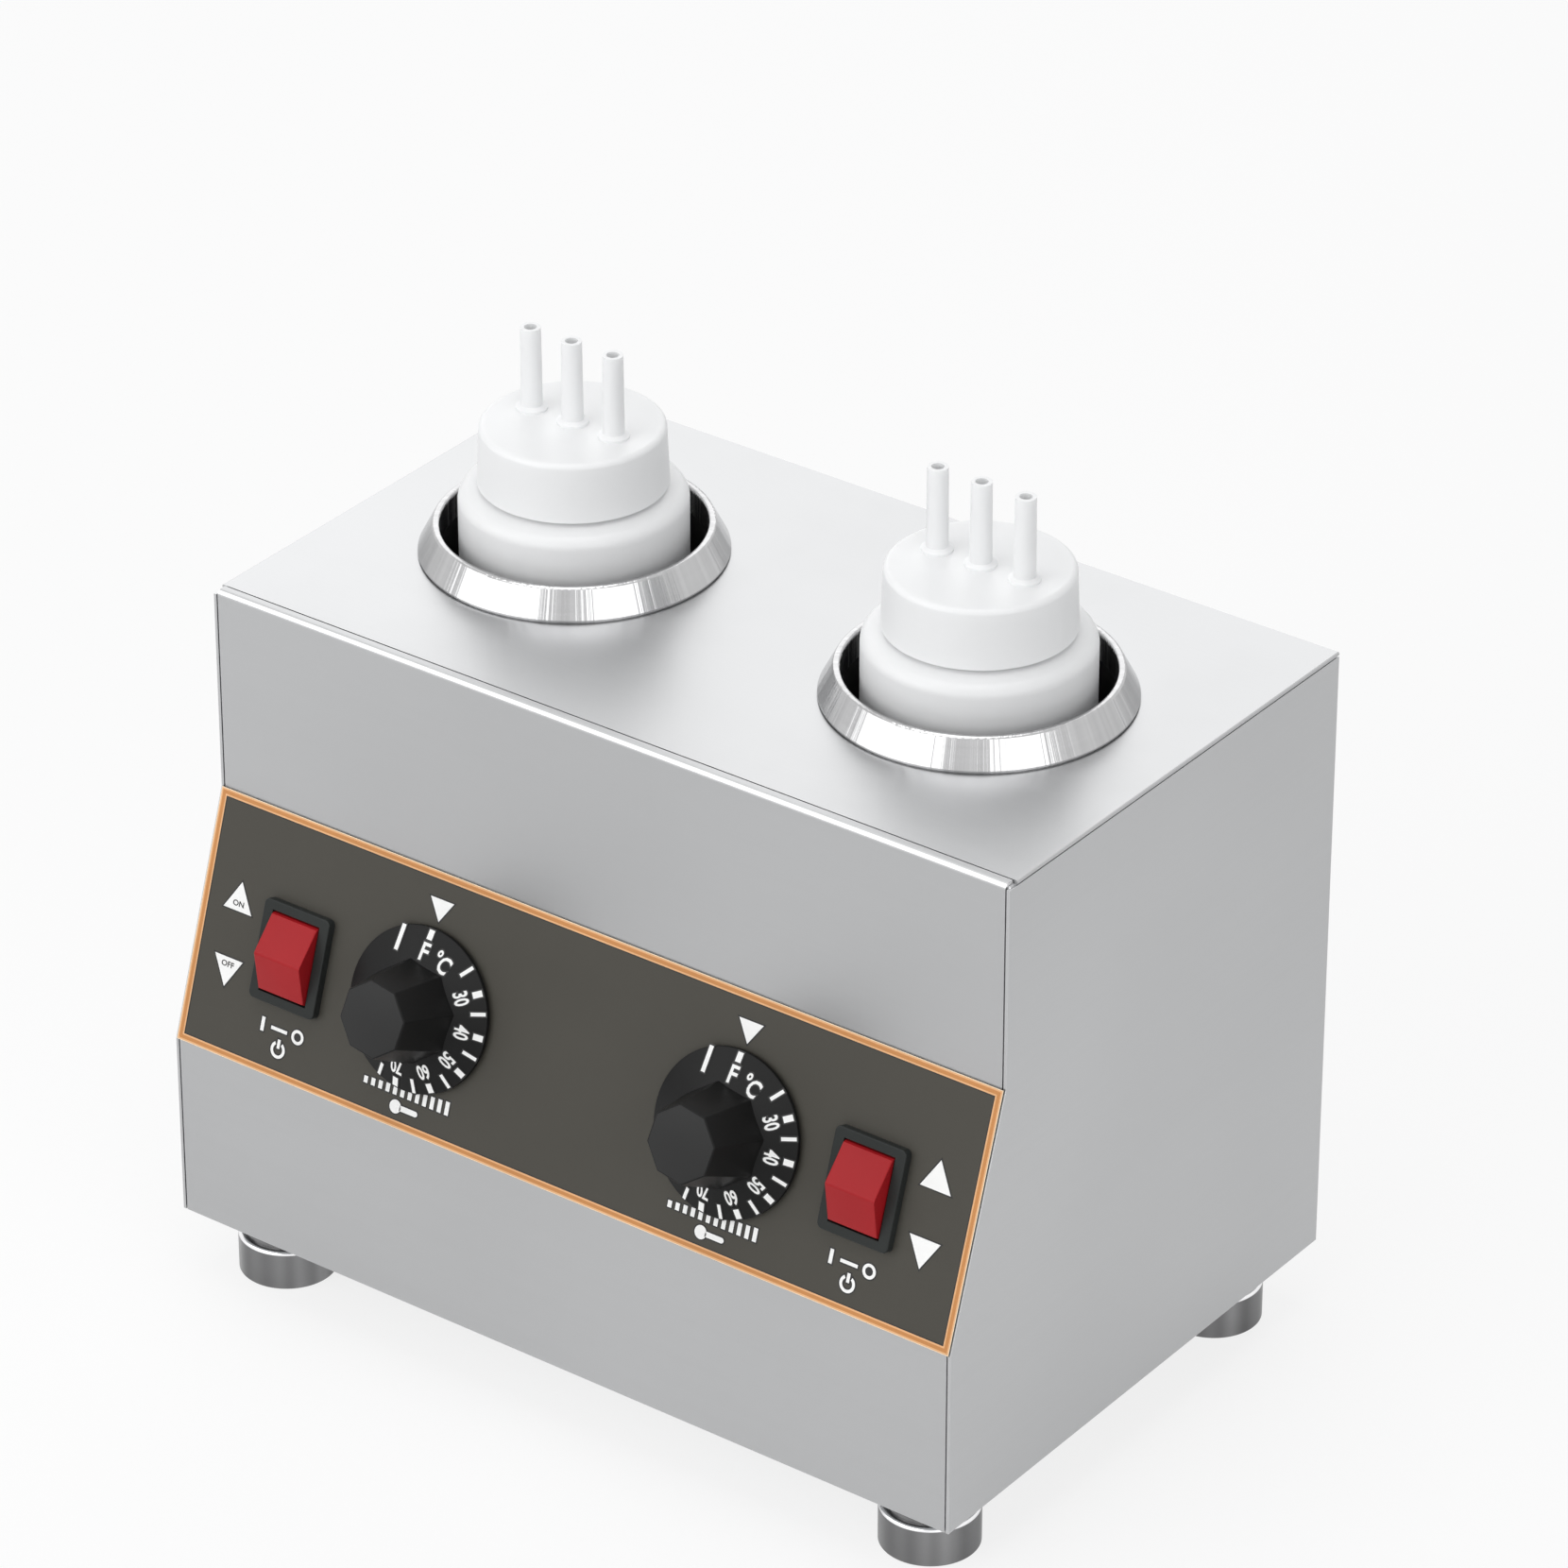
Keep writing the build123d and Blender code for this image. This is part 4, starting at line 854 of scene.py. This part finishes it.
def buildKnob(side):
    place = panelPlace(joints[f"{side}_dial_turn"]["pos_m"][0], dialRise)
    low, high = span(f"{side}_knob", place, 2)
    skirtRadius = span(f"{side}_knob", place, 1)[1]
    rimTop, roundness = low + knob["rim"], knob["rimRound"]
    profile = [(0, low), (skirtRadius - roundness, low)]
    profile += roundedCorner((skirtRadius - roundness, low + roundness), roundness, -90, 0)
    profile += roundedCorner((skirtRadius - roundness, rimTop - roundness), roundness, 0, 72)
    profile += [(knob["skirtTop"], low + knob["skirtRise"]), (0, low + knob["skirtRise"])]
    skirt = bmesh.new()
    addTurned(skirt, profile, steps=knob["steps"])
    grip = bmesh.new()
    corners = [knob["gripTurn"] + math.tau * k / 8 for k in range(8)]
    root = around((0, 0), knob["gripRoot"], corners)
    top = high - knob["noseStep"]
    ends = addPrism(grip, root, low + knob["skirtRise"] - mm, top)
    shrink = knob["gripNose"] / knob["gripRoot"]
    for vertex in ends[1].verts:
        vertex.co.x *= shrink
        vertex.co.y *= shrink
    bevelled = [edge for edge in grip.edges if any(vertex.co.z > top - 1e-6 for vertex in edge.verts)]
    bevelEdges(grip, bevelled, knob["gripBevel"], 4)
    mesh = combined(meshFrom(skirt), meshFrom(grip), "UNION")
    mesh.transform(place)
    body = f"{side}_dial"
    piece = placePiece(f"{side}_knob_body", mesh, "knob", body, knob["sharp"])
    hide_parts(f"{side}_knob")
    # the nose disc's paler tone paints the light falling on that face
    nose = bmesh.new()
    flat = around((0, 0), knob["gripNose"] - knob["noseInset"], corners)
    ends = addPrism(nose, flat, high - knob["noseThickness"], high)
    bevelEdges(nose, list(ends[1].edges), knob["noseStep"], 2)
    placePiece(f"{side}_knob_nose", meshFrom(nose, place), "knobNose", body,
               knob["sharp"])

    slope = (knob["skirtRise"] - knob["rim"]) / (skirtRadius - knob["skirtTop"])

    def skirtInk(x, y, out):
        radius = math.hypot(x, y)
        height = min(rimTop + (skirtRadius - radius) * slope, low + knob["skirtRise"])
        return place @ Vector((x, y, height + out + ink["lift"]))

    white, black = bmesh.new(), bmesh.new()
    outlines = []
    for kind in ("thick", "thin"):
        width, length, radius = knob[f"{kind}Tick"]
        for degrees in knob[f"{kind}At"]:
            turn = math.radians(degrees)
            outlines.append(bar(radius * math.sin(turn), radius * math.cos(turn), width, length, -turn))
    outlines.append(bar(*knob["loneBar"]))
    inkLayers(white, black, outlines, skirtInk)
    for words, degrees, squeeze, share in knob["figures"]:
        turn = math.radians(degrees)
        shift = (knob["figureRadius"] * math.sin(turn), knob["figureRadius"] * math.cos(turn))
        for form, grow, lowInk, highInk in ((black, knob["figureKey"], -ink["lift"], ink["depth"]),
                                            (white, knob["figureGrow"], ink["depth"] / 2, 2 * ink["depth"])):
            flat = textFlat(words, knob["figureSize"] * share, knob["figureSqueeze"] * squeeze, grow, -turn,
                            shift)
            addFlat(form, flat, skirtInk, lowInk, highInk)
    placePiece(f"{side}_dial_scale", meshFrom(white), "printWhite", body)
    placePiece(f"{side}_dial_scale_lines", meshFrom(black), "printBlack", body)


for side in sides:
    buildKnob(side)
print("knobs built")


# rocker caps with softened edges

rocker = {
    "shore": 0.9 * mm,            # ends above the bezel
    "ridge": 6.3 * mm,
    "root": 5.0 * mm,
    "pivot": 3.0 * mm,
    "halfLength": 11.75 * mm,
    "halfWidth": 9.0 * mm,
    "nose": 1.5 * mm,
    "bevel": 0.4 * mm,
    "endGrowth": 0.5 * mm,        # fuller ends, closer to the bezel
}


def buildRocker(side):
    spot = Vector(joints[f"{side}_rocker_tilt"]["pos_m"])
    place = localFrame(slopeUp, slopeOut, Vector((1, 0, 0)), spot)
    endRise = rocker["pivot"] + rocker["shore"]
    endRadius = math.hypot(rocker["halfLength"], endRise) + rocker["endGrowth"]
    endAngle = math.degrees(math.asin(endRise / endRadius))
    rootAngle = math.degrees(math.asin((rocker["pivot"] - rocker["root"]) / endRadius))
    rise = rocker["ridge"] - rocker["shore"]
    tilt = math.degrees(math.atan2(rise, endRadius * math.cos(math.radians(endAngle))))
    noseCentre = (0, rocker["pivot"] + rocker["ridge"] - rocker["nose"] / math.cos(math.radians(tilt)))
    outline = roundedCorner((0, 0), endRadius, rootAngle, endAngle, 6)
    outline += roundedCorner(noseCentre, rocker["nose"], 90 - tilt, 90 + tilt, 6)
    outline += roundedCorner((0, 0), endRadius, 180 - endAngle, 180 - rootAngle, 6)
    form = bmesh.new()
    ends = addPrism(form, outline, -rocker["halfWidth"], rocker["halfWidth"])
    bevelEdges(form, [edge for face in ends for edge in face.edges], rocker["bevel"], 3)
    piece = placePiece(f"{side}_rocker_cap", meshFrom(form, place), "red", f"{side}_switch",
                       sharp=30.0)
    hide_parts(f"{side}_rocker")


for side in sides:
    buildRocker(side)
print("rockers built")


# screw threads outside each bottle neck and inside its cap

thread = {
    "pitch": 4.2 * mm,
    "turns": 2.2,
    "width": 1.7 * mm,
    "neckHeight": 0.65 * mm,
    "capHeight": 0.28 * mm,
    "start": 3.4 * mm,            # above the foot of the cap
    "sink": 0.2 * mm,             # into the wall that carries it
    "crest": 0.45,                # share of its width at the top
    "fade": 0.06,                 # share of its length over which it runs out
    "steps": 160,
}


def buildThread(name, node, axis, radius, height, turned, body, finish):
    # a ridge of rising turns; height is outwards from the radius, or inwards if negative
    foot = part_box(node)[0].z + thread["start"]
    steps, half = thread["steps"], thread["width"] / 2
    sink = -math.copysign(thread["sink"], height)
    form = bmesh.new()
    loops = []
    for k in range(steps + 1):
        share = k / steps
        angle = math.tau * (thread["turns"] * share + turned)
        fade = min(1.0, share / thread["fade"], (1 - share) / thread["fade"])
        crest, root = radius + height * fade, radius + sink
        z = foot + thread["pitch"] * thread["turns"] * share
        flat = half * thread["crest"]
        section = [(root, z - half), (crest, z - flat), (crest, z + flat), (root, z + half)]
        loops.append([form.verts.new((axis.x + r * math.cos(angle), axis.y + r * math.sin(angle), level))
                      for r, level in section])
    for before, after in zip(loops, loops[1:]):
        for k in range(4):
            form.faces.new((before[k], before[(k + 1) % 4], after[(k + 1) % 4], after[k]))
    form.faces.new(loops[0])
    form.faces.new(loops[-1][::-1])
    placePiece(name, meshFrom(form), finish, body, sharp=50.0)


for side in sides:
    bottleLow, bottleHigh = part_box(f"{side}_bottle")
    axis = (bottleLow + bottleHigh) / 2
    neckRadius = max(math.hypot(v.co.x - axis.x, v.co.y - axis.y)
                     for v in nodes[f"{side}_bottle"].data.vertices if v.co.z > bottleHigh.z - 5 * mm)
    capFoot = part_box(f"{side}_cap")[0].z
    capBore = min(math.hypot(v.co.x - axis.x, v.co.y - axis.y) for v in nodes[f"{side}_cap"].data.vertices
                  if v.co.z < capFoot + mm)
    buildThread(f"{side}_neck_thread", f"{side}_cap", axis, neckRadius, thread["neckHeight"], 0.0,
                f"{side}_bottle_body", "bottle")
    buildThread(f"{side}_cap_thread", f"{side}_cap", axis, capBore, -thread["capHeight"], 0.5,
                f"{side}_cap_body", "cap")
print("threads built")


# screws with a cross cut in the head

screws = {                        # height of the head, which way it faces, radius of the shank
    "rear_screws": (2.2 * mm, (0, 1, 0), 2.0 * mm),
    "base_screws": (2.2 * mm, (0, 0, -1), 2.0 * mm),
    "foot_screws": (3.3 * mm, (0, 0, -1), 2.5 * mm),
}
cross = {"reach": 0.6, "width": 0.15, "depth": 0.55, "taper": 0.55}   # shares of the head
screwHead = {
    "rim": 0.1 * mm,              # upright edge
    "crown": 0.5,                 # share of the height that is rounded
    "shoulder": 1.2,              # crown's middle in from the rim, in crown radii
    "tip": (0.4 * mm, 0.6 * mm),  # chamfer of the shank's end: in, up
    "turn": 0.65,                 # from one screw's cross to the next, in radians
}


def crossOutline(reach, width):
    corners = [(reach, -width), (reach, width), (width, width)]
    return [(x * cosine - y * sine, x * sine + y * cosine)
            for cosine, sine in ((1, 0), (0, 1), (-1, 0), (0, -1)) for x, y in corners]


def screwMesh(headRadius, rise, shank, length, turn):
    # head along +z from its bearing face at 0
    edge = rise * screwHead["crown"]
    inward, upward = screwHead["tip"]
    profile = [(0, -length), (shank - inward, -length), (shank, -length + upward), (shank, 0)]
    profile += [(headRadius, 0), (headRadius, screwHead["rim"])]
    profile += roundedCorner((headRadius - edge * screwHead["shoulder"], rise - edge), edge, 25, 90, 6)
    profile += [(0, rise)]
    head = bmesh.new()
    addTurned(head, profile, steps=48)
    cut = bmesh.new()
    outline = crossOutline(headRadius * cross["reach"], headRadius * cross["width"])
    ends = addPrism(cut, outline, rise * (1 - cross["depth"]), rise + 0.3 * mm)
    for vertex in ends[0].verts:
        vertex.co.x *= cross["taper"]
        vertex.co.y *= cross["taper"]
    mesh = combined(meshFrom(head), meshFrom(cut), "DIFFERENCE")
    mesh.transform(Matrix.Rotation(turn, 4, "Z"))
    return mesh


def buildScrews(name):
    rise, way, shank = screws[name]
    way = Vector(way)
    form = bmesh.new()
    for count, (low, high) in enumerate(islands(name)):
        centre = (low + high) / 2
        length = abs((high - low).dot(way))
        radius = (high.x - low.x) / 2
        spot = centre + way * (length / 2 - rise)
        mesh = screwMesh(radius, rise, shank, length - rise, count * screwHead["turn"])
        mesh.transform(Matrix.Translation(spot) @ way.to_track_quat("Z", "Y").to_matrix().to_4x4())
        form.from_mesh(mesh)
        bpy.data.meshes.remove(mesh)
    piece = placePiece(f"{name}_crosshead", meshFrom(form), "screw", "case", sharp=30.0)
    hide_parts(name)


for name in screws:
    buildScrews(name)
print("screws built")


# cord gland: hexagon against the rear sheet, domed nut with ribs, rubber seal in its mouth

gland = {
    "hexThickness": 5.0 * mm,
    "hexEdge": 0.7 * mm,
    "bore": 3.6 * mm,
    "nutRadius": 8.6 * mm,
    "nutGap": 0.25 * mm,
    "nutStraight": 4.2 * mm,      # ribbed length
    "mouth": 5.6 * mm,
    "ribs": 20,
    "ribDepth": 0.35 * mm,
    "threadRadius": 7.2 * mm,
    "threadGap": 0.05 * mm,
    "stubDrop": 3.0 * mm,         # thread's end below the mouth
    "nutEdge": 0.4 * mm,
    "lip": (0.5 * mm, 0.3 * mm),  # rim of the mouth: in, down
    "lipFoot": 2.4 * mm,
    "nutRoof": 2.8 * mm,
    "sealGap": 0.55 * mm,
    "sealFoot": 2.9 * mm,         # both below the mouth
    "sealTop": 0.9 * mm,
}


def addRibbed(form, profile, ribs, depth, steps):
    # a turned form with ribs round its widest part
    widest = max(radius for radius, height in profile)
    rings = []
    for radius, height in profile:
        wave = depth if radius > widest - 1e-6 else 0.0
        rings.append([])
        for k in range(steps):
            angle = math.tau * k / steps
            reach = radius - wave * (0.5 - 0.5 * math.cos(ribs * angle)) ** 2
            rings[-1].append(form.verts.new((reach * math.cos(angle), reach * math.sin(angle), height)))
    for low, high in zip(rings, rings[1:] + rings[:1]):
        for k in range(steps):
            form.faces.new((low[k], low[(k + 1) % steps], high[(k + 1) % steps], high[k]))


def buildGland():
    low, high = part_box("cord_gland")
    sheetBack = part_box("rear_panel")[1].y
    spot = Vector(((low.x + high.x) / 2, sheetBack, (low.z + high.z) / 2))
    place = localFrame(Vector((-1, 0, 0)), Vector((0, 0, 1)), Vector((0, 1, 0)), spot)
    hexRadius = (high.x - low.x) / 2
    reach = high.y - sheetBack
    inside = low.y - sheetBack
    body = bmesh.new()
    ends = addPrism(body, disc(0, 0, hexRadius, 6), 0, gland["hexThickness"])
    bevelEdges(body, list(ends[1].edges), gland["hexEdge"], 3)
    stub = bmesh.new()
    radius, end = gland["threadRadius"], reach - gland["stubDrop"]
    addTurned(stub, [(0, inside), (radius, inside), (radius, end), (0, end)], steps=64)
    bore = bmesh.new()
    start = inside - mm           # cut past the stub's end
    addTurned(bore, [(0, start), (gland["bore"], start), (gland["bore"], reach), (0, reach)], steps=48)
    solid = combined(meshFrom(body), meshFrom(stub), "UNION")
    mesh = combined(solid, meshFrom(bore), "DIFFERENCE")
    mesh.transform(place)
    piece = placePiece("cord_gland_body", mesh, "black", "case", sharp=30.0)
    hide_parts("cord_gland")
    nut = bmesh.new()
    foot = gland["hexThickness"] + gland["nutGap"]
    shoulder = foot + gland["nutStraight"]
    outer, mouth, edge = gland["nutRadius"], gland["mouth"], gland["nutEdge"]
    inner = radius + gland["threadGap"]
    profile = [(inner, foot), (outer - edge, foot), (outer, foot + edge), (outer, shoulder)]
    for k in range(1, 7):
        angle = math.radians(90 * k / 7)
        profile.append((mouth + (outer - mouth) * math.cos(angle),
                        shoulder + (reach - shoulder) * math.sin(angle)))
    inward, downward = gland["lip"]
    lip = mouth - inward
    profile += [(mouth, reach), (lip, reach - downward), (lip, reach - gland["lipFoot"]),
                (inner, reach - gland["nutRoof"])]
    addRibbed(nut, profile, gland["ribs"], gland["ribDepth"], gland["ribs"] * 10)
    placePiece("cord_gland_nut_dome", meshFrom(nut, place), "black", "case", sharp=30.0)
    seal = bmesh.new()
    inside, outside = gland["bore"], mouth - gland["sealGap"]
    low, high = reach - gland["sealFoot"], reach - gland["sealTop"]
    profile = [(inside, low), (outside, low), (outside, high)]
    profile += roundedCorner(((inside + outside) / 2, high), (outside - inside) / 2, 10, 170, 6)
    profile += [(inside, high)]
    addTurned(seal, profile, steps=64)
    placePiece("cord_gland_seal", meshFrom(seal, place), "rubber", "case", sharp=40.0)


buildGland()
print("cord gland built")


# floor, lights and camera

studio = {
    "floorTone": (0.93, 0.93, 0.93),
    "floorReach": 6.0,
    "floorDrop": 0.2 * mm,        # under the feet
    "floorRough": 0.8,
    "paperScale": 40.0,
    "paperShade": 0.99,
    "floorGlow": 0.8,             # share of plain white that is seen in the floor
    "floorInMetal": 0.5,          # how much of that share the metal mirrors
    "worldTone": (0.98, 0.99, 1.0),
    "worldStrength": 0.44,
    "softboxes": {                # azimuth from the front, elevation, distance, size, power
        "leftLight": (-24, 27, 1.8, (2.2, 1.2), 13.5),
        "rightLight": (67, 24, 1.8, (1.2, 0.9), 5.0),
        "backLight": (-143, 26, 1.9, (1.6, 1.4), 5.5),
        "topLight": (0, 86, 1.9, (1.3, 1.3), 10.0),
    },
}


def seenDirectly(tree, inMetal=1.0):
    # 1 for what the camera and clear plastic look at, and a share of it for what metal mirrors
    path = tree.nodes.new("ShaderNodeLightPath")
    mirrored = mathNode(tree, "MULTIPLY", path.outputs["Is Glossy Ray"], inMetal)
    seen = mathNode(tree, "ADD", path.outputs["Is Camera Ray"], mirrored)
    return mathNode(tree, "ADD", seen, path.outputs["Is Transmission Ray"], True)


def mixSurfaces(tree, output, factor, first, second):
    mix = tree.nodes.new("ShaderNodeMixShader")
    for socket, value in zip(mix.inputs, (factor, first.outputs[0], second.outputs[0])):
        plug(tree, socket, value)
    tree.links.new(mix.outputs[0], tree.nodes[output].inputs["Surface"])


def buildFloor():
    mesh = bpy.data.meshes.new("floor")
    reach = studio["floorReach"]
    corners = [(-reach, -reach, 0), (reach, -reach, 0), (reach, reach, 0), (-reach, reach, 0)]
    mesh.from_pydata(corners, [], [(0, 1, 2, 3)])
    floor = newObject("floor", mesh)
    floor.location.z = -studio["floorDrop"]
    material, tree, shader = newMaterial("floorPaper")
    tone = studio["floorTone"]
    paper = noiseNode(tree, objectPlace(tree), studio["paperScale"], 4.0)
    shaded = tuple(c * studio["paperShade"] for c in tone)
    plugAll(tree, shader.inputs, Base_Color=mixColour(tree, paper, shaded, tone),
            Roughness=studio["floorRough"])
    glow = addNode(tree, "ShaderNodeEmission", Strength=1.0)
    seen = mathNode(tree, "MULTIPLY", seenDirectly(tree, studio["floorInMetal"]), studio["floorGlow"])
    mixSurfaces(tree, "Material Output", seen, shader, glow)
    mesh.materials.append(material)


def buildWorld():
    world = bpy.data.worlds.new("studioWorld")
    scene.world = world
    world.use_nodes = True
    tree = world.node_tree
    background = tree.nodes["Background"]
    plugAll(tree, background.inputs, Color=studio["worldTone"], Strength=studio["worldStrength"])
    white = addNode(tree, "ShaderNodeBackground", Color=(1, 1, 1, 1))
    mixSurfaces(tree, "World Output", seenDirectly(tree), background, white)


def standAt(item, aim, azimuth, elevation, distance):
    # facing the aim from a place round it, azimuth from the front and positive to its right
    turn, tilt = math.radians(azimuth), math.radians(elevation)
    away = Vector((math.sin(turn) * math.cos(tilt), -math.cos(turn) * math.cos(tilt), math.sin(tilt)))
    item.location = aim + away * distance
    item.rotation_euler = (-away).to_track_quat("-Z", "Y").to_euler()


def addSoftbox(name, azimuth, elevation, distance, size, power):
    light = bpy.data.lights.new(name, "AREA")
    light.shape = "RECTANGLE"
    light.size, light.size_y = size
    light.energy = power
    middle = Vector((0, 0, (caseCorner.z + topZ) / 2))
    standAt(newObject(name, light), middle, azimuth, elevation, distance)


cameraView = {
    "azimuth": 36.65,
    "elevation": 30.04,
    "distance": 2.431,
    "aim": (0.01418, 0.10006, 0.16631),   # from the case corner
    "lens": 182.03,
    "sensor": 36.0,
}


def buildCamera():
    data = bpy.data.cameras.new("camera")
    data.sensor_fit = "HORIZONTAL"
    data.sensor_width = cameraView["sensor"]
    data.lens = cameraView["lens"]
    scene.camera = newObject("camera", data)
    standAt(scene.camera, caseCorner + Vector(cameraView["aim"]), cameraView["azimuth"],
            cameraView["elevation"], cameraView["distance"])


buildFloor()
buildWorld()
for name, values in studio["softboxes"].items():
    addSoftbox(name, *values)
buildCamera()
scene.view_settings.view_transform = "Standard"
print("studio ready")
